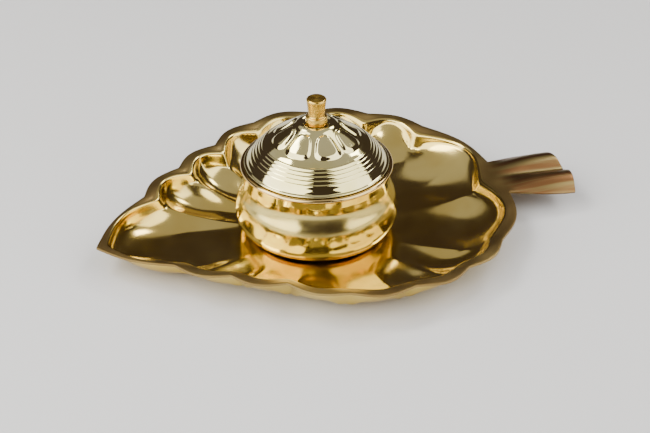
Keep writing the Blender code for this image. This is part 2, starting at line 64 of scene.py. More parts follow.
def add_camera():
    """A long lens at the photograph's viewing angle."""
    data = bpy.data.cameras.new("camera")
    data.lens = CAMERA_LENS
    data.sensor_width = SENSOR_WIDTH
    data.clip_start = NEAREST_SEEN
    camera = bpy.data.objects.new("camera", data)
    camera.location = CAMERA_PLACE
    camera.rotation_euler = CAMERA_LOOK.to_track_quat("-Z", "Y").to_euler()
    bpy.context.scene.collection.objects.link(camera)
    bpy.context.scene.camera = camera


add_camera()
print("camera looks down", round(math.degrees(math.asin(-CAMERA_LOOK.normalized().z)), 1), "degrees")

# %% [markdown]
# Polished metal shows the room more than itself, so the light is half of the material. Two
# broad soft panels stand to the left and right of the camera and leave a gap between them:
# that gap is the dark stripe down the middle of the bowl and the lid. A third soft panel
# overhead keeps the floor pale, and two small lamps, one behind on the right and one on the
# left, put the white sparks on the pans and the petals. The rest of the room stays dim, as a
# studio is, so that the brass has its deep browns beside its whites.

# %% A pale floor in a dim room
FLOOR_COLOUR = (0.74, 0.73, 0.71)
FLOOR_ROUGHNESS = 0.6
FLOOR_SIZE = 10.0
FLOOR_GAP = 0.03 * MM
ROOM_COLOUR = (0.34, 0.26, 0.25)
ROOM_STRENGTH = 0.18


def add_floor():
    """A plain pale floor, just under the tray."""
    bpy.ops.mesh.primitive_plane_add(size=FLOOR_SIZE, location=(0.0, 0.0, -FLOOR_GAP))
    floor = bpy.context.object
    floor.name = "studio_floor"
    surface = bpy.data.materials.new("studio_floor")
    surface.use_nodes = True
    shader = surface.node_tree.nodes["Principled BSDF"]
    shader.inputs["Base Color"].default_value = (*FLOOR_COLOUR, 1.0)
    shader.inputs["Roughness"].default_value = FLOOR_ROUGHNESS
    floor.data.materials.append(surface)


def light_room():
    """A dim, even room all round."""
    world = bpy.data.worlds.new("room")
    world.use_nodes = True
    background = world.node_tree.nodes["Background"]
    background.inputs["Color"].default_value = (*ROOM_COLOUR, 1.0)
    background.inputs["Strength"].default_value = ROOM_STRENGTH
    bpy.context.scene.world = world


add_floor()
light_room()
print("room strength", ROOM_STRENGTH)

# %% Soft panels and small lamps
# Each has its azimuth and elevation in degrees, where azimuth 0 is behind the camera and grows
# to the right, then its distance, width and height in metres, and its power in watts.
PANELS = {
    "panel_left": (-57, 32, 0.80, 1.08, 0.95, 14.5),
    "panel_right": (68, 32, 0.80, 0.80, 0.95, 7.5),
    "panel_over": (0, 100, 1.0, 2.2, 1.5, 5.0),
    "lamp_back": (136, 45, 1.0, 0.24, 0.22, 2.2),
    "lamp_side": (-108, 56, 1.0, 0.26, 0.26, 2.6),
}
AIM = Vector((0.0, 0.0, 25.0)) * MM


def add_panel(name, azimuth, elevation, distance, width, height, power):
    """A rectangle of even light that faces the middle of the object."""
    turn = math.atan2(CAMERA_LOOK.y, CAMERA_LOOK.x) + math.pi + math.radians(azimuth)
    rise = math.radians(elevation)
    out = Vector((math.cos(turn) * math.cos(rise), math.sin(turn) * math.cos(rise), math.sin(rise)))
    data = bpy.data.lights.new(name, "AREA")
    data.shape = "RECTANGLE"
    data.size = width
    data.size_y = height
    data.energy = power
    panel = bpy.data.objects.new(name, data)
    panel.location = AIM + out * distance
    panel.rotation_euler = out.to_track_quat("Z", "Y").to_euler()
    bpy.context.scene.collection.objects.link(panel)


for name, values in PANELS.items():
    add_panel(name, *values)
print("lights:", sorted(PANELS))

# %% [markdown]
# Node trees are easier to read when a formula reads like one. These helpers add a node with
# its inputs already filled in, whether an input is a number or another node's output, and
# they work for shader trees and geometry trees alike.

# %% Helpers for node trees
def put(tree, socket, term):
    """Set an input to a value, or link it to another node's output."""
    if isinstance(term, bpy.types.NodeSocket):
        tree.links.new(term, socket)
    else:
        socket.default_value = term


def fill(tree, node, **terms):
    """Fill a node's inputs by name."""
    for name, term in terms.items():
        put(tree, node.inputs[name.replace("_", " ")], term)


def add_node(tree, kind, **terms):
    """Add a node and fill its inputs by name."""
    node = tree.nodes.new(kind)
    fill(tree, node, **terms)
    return node


def calc(tree, operation, *terms):
    """Add a maths node and return its result."""
    node = tree.nodes.new("ShaderNodeMath")
    node.operation = operation
    for socket, term in zip(node.inputs, terms):
        put(tree, socket, term)
    return node.outputs[0]


def scaled(tree, value, factor, base=0.0):
    """The value times a factor, plus a base."""
    return calc(tree, "MULTIPLY_ADD", value, factor, base)


def axis_parts(tree, place):
    """A place's x, y and z, and its distance from the upright axis."""
    x, y, z = add_node(tree, "ShaderNodeSeparateXYZ", Vector=place).outputs
    square = calc(tree, "ADD", calc(tree, "MULTIPLY", x, x), calc(tree, "MULTIPLY", y, y))
    return x, y, z, calc(tree, "SQRT", square)


def between(tree, value, low, high):
    """Stretch value so that low becomes 0 and high becomes 1, with soft ends."""
    node = add_node(tree, "ShaderNodeMapRange", Value=value, From_Min=low, From_Max=high)
    node.interpolation_type = "SMOOTHSTEP"
    return node.outputs["Result"]


print("node helpers ready")

# %% [markdown]
# Brass is one metal with many faces. Fresh from the buff it is pale and mirror bright; where
# fingers and air reach it, it turns browner and duller. So a few helpers make every finish:
# two close colours drift into each other in broad clouds, fine polishing marks break up the
# gloss, and each piece then says which way its marks run and where it is duller. The dark
# brown on the tray's flange and stalk is a painted reflection of the dark room.

# %% Helpers for brass
SMEAR_DETAIL = 5.0
MARK_SLANT = (1.31, 0.87)


def new_finish(name):
    """An empty metal finish, its nodes and the piece's own coordinates."""
    surface = bpy.data.materials.new(name)
    surface.use_nodes = True
    tree = surface.node_tree
    shader = tree.nodes["Principled BSDF"]
    shader.inputs["Metallic"].default_value = 1.0
    place = add_node(tree, "ShaderNodeTexCoord").outputs["Object"]
    return surface, tree, shader, place


def cloud(tree, place, size, detail=3.0):
    """A soft random value from 0 to 1 whose clouds are about this size across."""
    texture = add_node(tree, "ShaderNodeTexNoise", Vector=place, Scale=1.0 / size, Detail=detail)
    return texture.outputs["Fac"]


def patches(tree, place, size, low, high, detail=3.0):
    """The same clouds, parted into light and dark: 0 up to low and 1 from high."""
    return between(tree, cloud(tree, place, size, detail), low, high)


def blend(tree, share, first, second):
    """Mix two colours, each a triple or another node's output."""
    node = tree.nodes.new("ShaderNodeMix")
    node.data_type = "RGBA"
    put(tree, node.inputs["Factor"], share)
    for socket, colour in zip(node.inputs[6:8], (first, second)):
        put(tree, socket, (*colour, 1.0) if isinstance(colour, tuple) else colour)
    return node.outputs[2]


def turning_marks(tree, place, pitch):
    """Fine rings about the upright axis, as a lathe tool leaves them."""
    height, radius = axis_parts(tree, place)[2:]
    out, up = (calc(tree, "MULTIPLY", way, rate) for way, rate in zip((radius, height), MARK_SLANT))
    along = calc(tree, "ADD", out, up)
    lined = add_node(tree, "ShaderNodeCombineXYZ", X=along, Y=0.0, Z=0.0).outputs[0]
    return cloud(tree, lined, pitch, 2.0)


def set_relief(tree, shader, height, depth):
    """Feed a height pattern to the shader as very shallow relief."""
    bump = add_node(tree, "ShaderNodeBump", Height=height, Distance=depth, Strength=1.0)
    fill(tree, shader, Normal=bump.outputs["Normal"])


print("brass helpers ready")

# %% [markdown]
# The leaf tray is one sheet of brass pressed between two dies. Its edge is a row of shallow
# lobes that meet in notches; inside each lobe the sheet drops into a smooth hollow pan, and
# from each notch a ridge runs towards the bowl and fades. A modelled box or a displaced
# plane would lose the crisp notches, so the sheet is computed from its outline inwards. The
# notches are given as shares of the leaf's length and width, and an arc joins each to the
# next. The back of the leaf is the side away from the camera, along +Y.

# %% Sizes of the leaf's outline
LEAF_LENGTH = 158.0 * MM
LEAF_HALF_SPAN = 65.2 * MM
TIP_TO_BOWL_AXIS = 85.0 * MM
TIP_SWEEP = 4.3 * MM
TIP_SWEEP_REACH = 60.0 * MM
TIP_FLANGE_WIDTH = 4.6 * MM
FLANGE_TONGUE_REACH = 5.5 * MM
NECK_FLANGE_LENGTH = 8.0 * MM
NECK_HALF_WIDTH = 11.5 * MM
NECK_TO_BOWL_AXIS = LEAF_LENGTH - TIP_TO_BOWL_AXIS
NOTCH_LENGTH_SHARES = (0.152, 0.261, 0.372, 0.494, 0.646, 0.787, 0.903)
NOTCH_WIDTH_SHARES = (0.374, 0.598, 0.778, 0.972, 1.0, 0.896, 0.672)
LOBE_BULGE_SHARES = (0.08, 0.15, 0.16, 0.16, 0.165, 0.175, 0.145, 0.11)
BACK_INNER_BULGE_SHARES = (0.14, 0.205, 0.215, 0.215, 0.22, 0.23, 0.205, 0.225)
FRONT_INNER_BULGE_SHARES = (0.14, 0.205, 0.215, 0.215, 0.21, 0.2, 0.165, 0.175)
LOBE_ROUNDNESS_SHARE = 0.12
FLANGE_HEIGHT = 13.0 * MM
FLANGE_DROOP = 3.0 * MM
print("leaf", LEAF_LENGTH / MM, "by", round(2 * LEAF_HALF_SPAN / MM, 1), "mm")

# %% Points on the leaf's outline
def leaf_point(station, offset):
    """A point of the leaf, with the tip swept a little to one side."""
    pull = max(0.0, 1.0 - station / TIP_SWEEP_REACH) ** 2
    return Vector((station - TIP_TO_BOWL_AXIS, offset - TIP_SWEEP * pull))


def outer_notches(side):
    """The flange's outer corners on one side: tip, seven notches, and the neck."""
    points = [leaf_point(0.0, 0.0)]
    for along, out in zip(NOTCH_LENGTH_SHARES, NOTCH_WIDTH_SHARES):
        points.append(leaf_point(along * LEAF_LENGTH, side * out * LEAF_HALF_SPAN))
    points.append(leaf_point(LEAF_LENGTH, side * NECK_HALF_WIDTH))
    return points


def inner_notches(side):
    """Where the ridges meet the flange, at the ends of the tongues between the pans."""
    outer = outer_notches(side)
    points = [outer[0] - outer[0].normalized() * TIP_FLANGE_WIDTH]
    for corner in outer[1:-1]:
        points.append(corner - corner.normalized() * FLANGE_TONGUE_REACH)
    points.append(Vector((NECK_TO_BOWL_AXIS - NECK_FLANGE_LENGTH, 0.0)))
    return points


def lobe_point(start, end, bulge_share, share):
    """A point on the arc from one notch to the next, bulging away from the bowl."""
    chord = end - start
    out = Vector((chord.y, -chord.x)).normalized()
    if out.dot((start + end) / 2) < 0.0:
        out = -out
    arch = math.sin(math.pi * share)
    swell = (1.0 - LOBE_ROUNDNESS_SHARE) * arch + LOBE_ROUNDNESS_SHARE * arch * arch
    return start + chord * share + out * chord.length * bulge_share * swell


def flange_height(point):
    """The flange arches a little: highest beside the bowl, lower at tip and neck."""
    half = LEAF_LENGTH / 2
    along = (point.x + TIP_TO_BOWL_AXIS - half) / half
    return FLANGE_HEIGHT - FLANGE_DROOP * along * along


print("flange height at the tip, mm:", round(flange_height(leaf_point(0.0, 0.0)) / MM, 1))

# %% [markdown]
# A table of a few values makes a facet at each value if it is joined by straight lines. A
# Catmull-Rom curve passes through the same values and turns smoothly between them, which is
# what a pressed or spun sheet does. The same helper serves tables of numbers and outlines.

# %% Smooth curves through a few points
def curve_value(values, position):
    """The value at a fractional position on a smooth curve through a table."""
    last = len(values) - 1
    index = min(int(position), last - 1)
    share = position - index
    before = values[index - 1] if index > 0 else values[0] * 2 - values[1]
    after = values[index + 2] if index + 2 <= last else values[last] * 2 - values[last - 1]
    here, following = values[index], values[index + 1]
    slope_here = (following - before) * 0.5
    slope_next = (after - here) * 0.5
    square, cube = share * share, share ** 3
    return (here * (2 * cube - 3 * square + 1) + slope_here * (cube - 2 * square + share)
            + following * (3 * square - 2 * cube) + slope_next * (cube - square))


def straight_value(values, position):
    """The value at a fractional position in a table, on straight lines."""
    index = min(int(position), len(values) - 2)
    share = position - index
    return values[index] + (values[index + 1] - values[index]) * share


def smooth_line(points, steps):
    """A smooth line through 2-D points, with this many short pieces between each pair."""
    vectors = [Vector(point) for point in points]
    count = (len(vectors) - 1) * steps
    return [curve_value(vectors, step / steps) for step in range(count + 1)]


def within(value):
    """The value kept from 0 to 1."""
    return max(0.0, min(1.0, value))


print("halfway from 0 to 1, with 4 to follow:", curve_value((0.0, 1.0, 4.0), 0.5))

# %% [markdown]
# Down the middle of a pan the sheet bends over a round edge, falls along a hollow wall and
# runs out flat to the bowl's seat. The wall is part of a circle, given by the angles it passes
# through. At the back, towards the stalk, the walls are gentler: there the photograph shows
# one wide glow in each pan where the others have a small bright spot.

# %% The curve down a pan
SHEET_THICKNESS = 0.9 * MM
FLOOR_TOP = SHEET_THICKNESS
UNDERSIDE_BEND_RADIUS = 0.4 * MM
PAN_EDGE_RADIUS = SHEET_THICKNESS + UNDERSIDE_BEND_RADIUS
PAN_EDGE_ANGLES = tuple(math.radians(turn) for turn in (0, 27, 53, 78))
PAN_WALL_REACH = 18.0 * MM
PAN_WALL_ANGLES = tuple(math.radians(turn) for turn in (8, 25, 41, 57, 73, 90))
PAN_FLOOR_SHARES = (0.0, 0.45, 1.0)
GENTLE_WALL_REACH = 25.0 * MM
GENTLE_WALL_POWER = 1.9
GENTLE_FROM, GENTLE_TO = -10.0 * MM, 40.0 * MM
GENTLE_SIDE = 22.0 * MM
EDGE_ROWS = len(PAN_EDGE_ANGLES) - 1
WALL_ROWS = EDGE_ROWS + len(PAN_WALL_ANGLES) - 1


def gentleness(rim):
    """How gentle the wall is here: 1 at the back near the stalk."""
    return within((rim.x - GENTLE_FROM) / (GENTLE_TO - GENTLE_FROM)) * within(rim.y / GENTLE_SIDE)


def pan_place(row, height, length, slant, gentle):
    """Distance in from the flange and height over the floor, down the middle of a pan."""
    if row <= EDGE_ROWS:
        turn = straight_value(PAN_EDGE_ANGLES, row)
        return PAN_EDGE_RADIUS * (math.sin(turn) - 1.0), height - PAN_EDGE_RADIUS * (1.0 - math.cos(turn))
    reach = min(PAN_WALL_REACH / slant, length)
    gentle_reach = min(GENTLE_WALL_REACH / slant, length)
    if row <= WALL_ROWS:
        start_height = height - PAN_EDGE_RADIUS * (1.0 - math.cos(PAN_EDGE_ANGLES[-1]))
        first = PAN_WALL_ANGLES[0]
        turn = straight_value(PAN_WALL_ANGLES, row - EDGE_ROWS)
        along = (math.cos(first) - math.cos(turn)) / math.cos(first)
        down = (1.0 - math.sin(turn)) / (1.0 - math.sin(first))
        steps = (row - EDGE_ROWS) / (WALL_ROWS - EDGE_ROWS)
        low = (1.0 - steps) ** GENTLE_WALL_POWER
        inwards = reach * along + (gentle_reach * steps - reach * along) * gentle
        return inwards, start_height * (down + (low - down) * gentle)
    reach += (gentle_reach - reach) * gentle
    share = straight_value(PAN_FLOOR_SHARES, row - WALL_ROWS)
    return reach + (length - reach) * share, 0.0


print("rows down a pan's wall:", WALL_ROWS - EDGE_ROWS)

# %% [markdown]
# Along a ridge the sheet holds its height to a blunt nose and then sinks as a keel, which is
# taller near the leaf's tip. The ridge's curve has as many rows as the pan's, so one number
# can mix them: the ridge's weight, 1 on the crest and 0 in mid-pan. A high power on that
# number gives narrow crests between wide hollows, as the dies did.

# %% The curve along a ridge
RIDGE_REACH = 12.5 * MM
RIDGE_STEP_SHARES = (-0.128, -0.056, 0.016, 0.096, 0.184, 0.296, 0.448, 0.672, 1.0)
NOSE_SHARES = (1.0, 0.97, 0.86, 0.46, 0.1, 0.01, 0.0, 0.0, 0.0, 0.0, 0.0)
NOSE_HALF_WIDTH = 2.0 * MM
NOSE_WIDTH_SHARES = (0.0, 0.0, 0.3, 0.85, 1.0, 0.55, 0.1, 0.0, 0.0, 0.0, 0.0)
KEEL_SHARES = (1.0, 1.0, 1.0, 0.99, 0.97, 0.93, 0.86, 0.73, 0.52, 0.2, 0.0)
BACK_KEEL_SHARES = (0.6, 0.6, 0.66, 0.45, 0.3, 0.25, 0.27, 0.36, 0.42)
FRONT_KEEL_SHARES = (0.6, 0.42, 0.3, 0.25, 0.25, 0.27, 0.32, 0.42, 0.42)
LONGEST_KEEL_SHARE = 0.74
KEEL_FADE_POWER = 0.4
RIDGE_SHARPNESS = 2.9
RIDGE_ROUNDING_SHARE = 0.05


def ridge_place(row, height, length, keel_share):
    """Distance in from the flange and height over the floor, along a ridge's crest."""
    steps = [RIDGE_REACH * share for share in RIDGE_STEP_SHARES]
    steps += [RIDGE_REACH + (length - RIDGE_REACH) * share for share in PAN_FLOOR_SHARES[1:]]
    nose = max(0.0, curve_value(NOSE_SHARES, row))
    keel = max(0.0, curve_value(KEEL_SHARES, row)) ** (LONGEST_KEEL_SHARE / keel_share) ** KEEL_FADE_POWER
    return curve_value(steps, row), height * (nose + keel_share * (keel - nose))


def ridge_weight(share, ridge_at_start, flat):
    """One on a ridge and its flat part, falling to nothing in mid-pan."""
    distance = min(share, 1.0 - share) if ridge_at_start else 1.0 - share
    rounded = math.hypot(2.0 * max(0.0, distance - flat), RIDGE_ROUNDING_SHARE) - RIDGE_ROUNDING_SHARE
    return max(0.0, 1.0 - rounded) ** RIDGE_SHARPNESS


print("weight a tenth of the way from a ridge:", round(ridge_weight(0.1, True, 0.0), 3))

# %% One column of the sheet
LOBE_COLUMNS = 28
NECK_COLUMNS = 14
EDGE_STEPS = 4
WALL_STEPS = 5
FLOOR_STEPS = 7
FLANGE_TONGUE_DIP = 1.2 * MM
SEAT_HALF_LENGTH = 25.0 * MM
SEAT_HALF_WIDTH = 24.0 * MM
STEEPEST_SLANT_SHARE = 0.62
FINE_ROWS = ([step / EDGE_STEPS for step in range(EDGE_ROWS * EDGE_STEPS)]
             + [EDGE_ROWS + step / WALL_STEPS for step in range((WALL_ROWS - EDGE_ROWS) * WALL_STEPS)]
             + [WALL_ROWS + step / FLOOR_STEPS for step in range(2 * FLOOR_STEPS + 1)])


def flange_edge(outer, lobe, step):
    """A point on the sheared edge. Past the last lobe it crosses the neck to the midrib."""
    if step > LOBE_COLUMNS:
        return outer[-1].lerp(Vector((outer[-1].x, 0.0)), (step - LOBE_COLUMNS) / NECK_COLUMNS)
    return lobe_point(outer[lobe], outer[lobe + 1], LOBE_BULGE_SHARES[lobe], step / LOBE_COLUMNS)


def leaf_column(edge, rim, seat, slant, weights, keel_share):
    """The flange's edge, then points from its inner edge down the pan to the bowl's seat."""
    inward = (seat - rim).normalized()
    length = (seat - rim).length
    height = flange_height(rim) - FLOOR_TOP - FLANGE_TONGUE_DIP * weights[0]
    gentle = gentleness(rim)
    rows = []
    for row, weight in zip(FINE_ROWS, weights):
        pan = pan_place(row, height, length, slant, gentle)
        ridge = ridge_place(row, height, length, keel_share)
        place = rim + inward * (pan[0] + (ridge[0] - pan[0]) * weight)
        rows.append(Vector((place.x, place.y, FLOOR_TOP + pan[1] + (ridge[1] - pan[1]) * weight)))
    return [Vector((edge.x, edge.y, flange_height(edge)))] + rows


print("points down a column:", len(FINE_ROWS) + 1)

# %% All columns round the leaf
def side_columns(side):
    """All columns of one half of the leaf, from tip to neck."""
    outer, inner = outer_notches(side), inner_notches(side)
    keel_shares = BACK_KEEL_SHARES if side > 0.0 else FRONT_KEEL_SHARES
    bulge_shares = BACK_INNER_BULGE_SHARES if side > 0.0 else FRONT_INNER_BULGE_SHARES
    columns = []
    for lobe in range(len(outer) - 1):
        last = lobe == len(outer) - 2
        count = LOBE_COLUMNS + (NECK_COLUMNS if last else 0)
        start_angle = side * math.pi if lobe == 0 else math.atan2(inner[lobe].y, inner[lobe].x)
        end_angle = math.atan2(inner[lobe + 1].y, inner[lobe + 1].x)
        chord = inner[lobe + 1] - inner[lobe]
        nose = NOSE_HALF_WIDTH / chord.length
        for step in range(count + 1 if last else count):
            share = step / count
            rim = lobe_point(inner[lobe], inner[lobe + 1], bulge_shares[lobe], share)
            angle = start_angle + (end_angle - start_angle) * share
            seat = Vector((SEAT_HALF_LENGTH * math.cos(angle), SEAT_HALF_WIDTH * math.sin(angle)))
            slant = max(abs(chord.normalized().cross((seat - rim).normalized())), STEEPEST_SLANT_SHARE)
            flats = [max(0.0, nose * curve_value(NOSE_WIDTH_SHARES, row)) for row in FINE_ROWS]
            weights = [ridge_weight(share, lobe > 0, flat) for flat in flats]
            keel_share = straight_value(keel_shares, lobe + share)
            edge = flange_edge(outer, lobe, step)
            columns.append(leaf_column(edge, rim, seat, slant, weights, keel_share))
    return columns


back_columns = side_columns(1.0)
ring = back_columns + side_columns(-1.0)[-2:0:-1]
print("columns:", len(ring), "points in each:", len(ring[0]))

# %% [markdown]
# Three small things make the sheet look pressed and not computed. The die's corners are
# round, so the sharp corners where two pans' rims meet are averaged into blunt noses. The
# flange leaves the sheared edge flat and bends down gently to each tongue. And hand polishing
# leaves a sheet very slightly wavy, which shows only in what it reflects.

# %% Round the noses, fill the flange and wave the sheet
NOSE_ROUNDING_SWEEPS = 3
NOSE_ROUNDING_ROWS = 16
FLANGE_STEPS = 4
WAVE_HEIGHT = 0.05 * MM
WAVE_LENGTH = 13.0 * MM


def round_noses(columns):
    """Average neighbouring columns, most at the flange and less further down."""
    for sweep in range(NOSE_ROUNDING_SWEEPS):
        rows = round(NOSE_ROUNDING_ROWS * (1.0 - sweep / NOSE_ROUNDING_SWEEPS))
        for row in range(1, 1 + rows):
            old = [column[row] for column in columns]
            for index, column in enumerate(columns):
                column[row] = (old[index - 1] + old[index] * 2 + old[(index + 1) % len(old)]) / 4


def with_flange(column):
    """The column with its flange filled in, from the sheared edge to the rim."""
    outer, rim = column[0], column[1]
    dip = flange_height(rim) - rim.z
    flange = []
    for step in range(FLANGE_STEPS):
        share = step / FLANGE_STEPS
        place = outer.lerp(rim, share)
        flange.append(Vector((place.x, place.y, flange_height(place) - dip * share * share)))
    return flange + column[1:]


def wave(point):
    """The point, raised by the sheet's waviness, away from the bowl's seat."""
    near_seat = within((point.xy.length - SEAT_HALF_LENGTH) / WAVE_LENGTH)
    return point + Vector((0.0, 0.0, WAVE_HEIGHT * near_seat * (1.0 + noise.noise(point / WAVE_LENGTH))))


round_noses(ring)
ring = [[wave(point) for point in with_flange(column)] for column in ring]
print("points in each column now:", len(ring[0]))

# %% [markdown]
# The stalk is a short handle of the same sheet, stiffened by two big flutes that swell from
# the neck, with a fine secondary line pressed along the foot of each. Its rows continue the
# neck's own points, so the sheet has no seam there.

# %% The stalk
STALK_LENGTH = 27.0 * MM
STALK_END_HALF_WIDTH = 15.6 * MM
STALK_END_DROP = 1.6 * MM
STALK_END_SLANT = 1.5 * MM
STALK_FLUTE_HEIGHT = 3.2 * MM
STALK_EDGE_DROP = 0.9 * MM
STALK_CORNER_LENGTH = 2.9 * MM
STALK_STEPS = 30
FINE_FLUTE_HEIGHT = 0.35 * MM
FINE_FLUTES = 3


def stalk_point(share, across):
    """A point of the stalk, by its share of the length and its place across, from -1 to 1."""
    swell = math.sin(share * math.pi / 2)
    half = NECK_HALF_WIDTH + (STALK_END_HALF_WIDTH - NECK_HALF_WIDTH) * swell
    length = (STALK_LENGTH - STALK_CORNER_LENGTH * across * across + STALK_END_SLANT * across) * share
    flute = math.sin(math.pi * abs(across))
    fine = math.sin(math.pi * FINE_FLUTES * abs(across)) ** 2 * (1.0 - flute)
    rise = swell * (STALK_FLUTE_HEIGHT * flute - STALK_EDGE_DROP * across * across - FINE_FLUTE_HEIGHT * fine)
    height = flange_height(Vector((NECK_TO_BOWL_AXIS, 0.0))) + rise - STALK_END_DROP * share
    return Vector((NECK_TO_BOWL_AXIS + length, -half * across, height))


def stalk_rows():
    """Rows of points across the stalk, from the neck out to its free end."""
    columns = range(-NECK_COLUMNS, NECK_COLUMNS + 1)
    return [[stalk_point(step / STALK_STEPS, column / NECK_COLUMNS) for column in columns]
            for step in range(1, STALK_STEPS + 1)]


print("stalk crest stands", round(max(point.z for row in stalk_rows() for point in row) / MM, 1), "mm up")

# %% [markdown]
# The tray's finish. The inside of the pans was buffed bright. The flange and the stalk were
# only wiped, so they are duller, with fine scratches; their dark brown colour is a painted
# reflection of the dark room they face, and the copper and olive streaks along the stalk are
# painted highlight and shade on its flutes. The mesh will carry a value, 1 on the flange and
# stalk and 0 in the pans, and the finish reads it, so no picture of the tray has to be painted.

# %% Tray finish
BRIGHT_BRASS = (0.78, 0.61, 0.20)
DEEP_BRASS = (0.69, 0.50, 0.13)
# painted reflection: the flange and stalk are painted this dark brown to stand in for the dark room they
# reflect
PAINTED_DARK_BROWN = (0.28, 0.18, 0.065)
# painted highlight and shade: the olive streaks stand in for the highlights on the stalk's flutes and the
# copper ones for their darker sides
STREAK_COPPER = (0.17, 0.072, 0.028)
STREAK_OLIVE = (0.23, 0.17, 0.065)
STREAK_STRENGTH = 0.85
STREAK_STRETCH = (0.04, 1.0, 0.6)
STALK_FADE = (NECK_TO_BOWL_AXIS - 4 * MM, NECK_TO_BOWL_AXIS + 6 * MM)
# how much of the painted dark brown goes on the flange and stalk, and how far it drifts in broad clouds
PAINTED_DARK_STRENGTH, PAINTED_DARK_DRIFT = 0.75, 0.2
PAN_ROUGHNESS, SMEAR_ROUGHNESS, WORN_ROUGHNESS = 0.12, 0.07, 0.22
SCRATCH_STRETCH = (1.0, 9.0, 9.0)
SCRATCH_DEPTH = 0.006 * MM


def tray_finish():
    """Bright in the pans; duller on the flange and stalk and painted dark brown there as a painted
    reflection, with painted streaks of highlight and shade along the stalk.
    """
    surface, tree, shader, place = new_finish("tray_brass")
    dull_and_painted_dark = tree.nodes.new("ShaderNodeAttribute")
    dull_and_painted_dark.attribute_name = "dull_and_painted_dark"
    dull_and_painted_dark = dull_and_painted_dark.outputs["Fac"]
    clouds = patches(tree, place, 28 * MM, 0.35, 0.65)
    # painted reflection: the painted dark brown on the flange and stalk, varying in broad clouds
    painted_dark = calc(tree, "MULTIPLY", dull_and_painted_dark, scaled(tree, clouds, PAINTED_DARK_DRIFT, PAINTED_DARK_STRENGTH))
    metal_with_painted_dark = blend(tree, painted_dark, blend(tree, clouds, BRIGHT_BRASS, DEEP_BRASS), PAINTED_DARK_BROWN)
    drawn = add_node(tree, "ShaderNodeMapping", Vector=place, Scale=STREAK_STRETCH).outputs[0]
    # painted highlight and shade, in random streaks that run along the stalk
    painted_flute_streaks = blend(tree, patches(tree, drawn, 2.2 * MM, 0.4, 0.6), STREAK_COPPER, STREAK_OLIVE)
    on_stalk = between(tree, axis_parts(tree, place)[0], *STALK_FADE)
    colour = blend(tree, scaled(tree, on_stalk, STREAK_STRENGTH), metal_with_painted_dark, painted_flute_streaks)
    smears = patches(tree, place, 9 * MM, 0.3, 0.8, SMEAR_DETAIL)
    gloss = scaled(tree, smears, SMEAR_ROUGHNESS, PAN_ROUGHNESS)
    fill(tree, shader, Base_Color=colour, Roughness=scaled(tree, dull_and_painted_dark, WORN_ROUGHNESS, gloss))
    wiped = add_node(tree, "ShaderNodeMapping", Vector=place, Scale=SCRATCH_STRETCH).outputs[0]
    set_relief(tree, shader, cloud(tree, wiped, 2.5 * MM, 4.0), SCRATCH_DEPTH)
    return surface


TRAY_FINISH = tray_finish()
print("made", TRAY_FINISH.name)

# %% [markdown]
# Now the points become a mesh. A Grid primitive has square corners and a fixed count, so the
# faces are made by hand with bmesh: four points make a face, column by column round the leaf,
# the seat closes the middle, and the stalk's rows are sewn to the neck. This is only the
# upper skin. Solidify then gives the sheet its thickness downwards, and a small Bevel rounds
# the sheared edge, which is where a real sheet catches a thin line of light.

# %% Build the tray's upper skin
SEAT_RING_SHARES = (0.7, 0.4, 0.15)
# rows over which the flange's duller gloss and painted dark brown fade out into the pan
DULL_AND_DARK_FADE_ROWS = FLANGE_STEPS + EDGE_STEPS


def join_leaf(bm, grid):
    """Add the seat's rings to the columns, then the faces between them."""
    for column in grid:
        last = column[-1].co
        for share in SEAT_RING_SHARES:
            column.append(bm.verts.new((last.x * share, last.y * share, last.z)))
    for column, following in zip(grid, grid[1:] + grid[:1]):
        for row in range(len(column) - 1):
            bm.faces.new((column[row], following[row], following[row + 1], column[row + 1]))
    bm.faces.new([column[-1] for column in grid])


def join_stalk(bm, neck, dull_and_painted_dark):
    """Sew the stalk's rows to the neck's points."""
    previous = neck
    for row in stalk_rows():
        current = [bm.verts.new(point) for point in row]
        for vert in current:
            # the whole stalk is duller and painted dark brown
            vert[dull_and_painted_dark] = 1.0
        for near, far in zip(zip(previous, previous[1:]), zip(current, current[1:])):
            bm.faces.new((near[0], near[1], far[1], far[0]))
        previous = current


def tray_skin():
    """The upper skin: the leaf's columns, the flat seat in their middle, and the stalk."""
    bm = bmesh.new()
    dull_and_painted_dark = bm.verts.layers.float.new("dull_and_painted_dark")
    grid = [[bm.verts.new(point) for point in column] for column in ring]
    for column in grid:
        # the flange is duller and painted dark brown, fading out down the pan's edge
        for row, vert in enumerate(column[:DULL_AND_DARK_FADE_ROWS]):
            vert[dull_and_painted_dark] = 1.0 if row <= FLANGE_STEPS else (DULL_AND_DARK_FADE_ROWS - row) / EDGE_STEPS
    middle = len(back_columns) - 1
    neck = [column[0] for column in grid[middle - NECK_COLUMNS:middle + NECK_COLUMNS + 1]]
    join_leaf(bm, grid)
    join_stalk(bm, neck, dull_and_painted_dark)
    bmesh.ops.recalc_face_normals(bm, faces=bm.faces)
    if sum(face.normal.z * face.calc_area() for face in bm.faces) < 0.0:
        bmesh.ops.reverse_faces(bm, faces=bm.faces)
    return bm


def mesh_object(name, bm, finish):
    """Turn a finished bmesh into a smoothly shaded object with its finish."""
    mesh = bpy.data.meshes.new(name)
    bm.to_mesh(mesh)
    bm.free()
    mesh.shade_smooth()
    mesh.materials.append(finish)
    piece = bpy.data.objects.new(name, mesh)
    bpy.context.scene.collection.objects.link(piece)
    return piece


tray = mesh_object("leaf_tray_pressed", tray_skin(), TRAY_FINISH)
print("tray skin faces:", len(tray.data.polygons))

# %% Give the sheet its thickness and a worn edge
EDGE_ROUND = 0.22 * MM
SHARPEST_KEPT_ANGLE = math.radians(60)


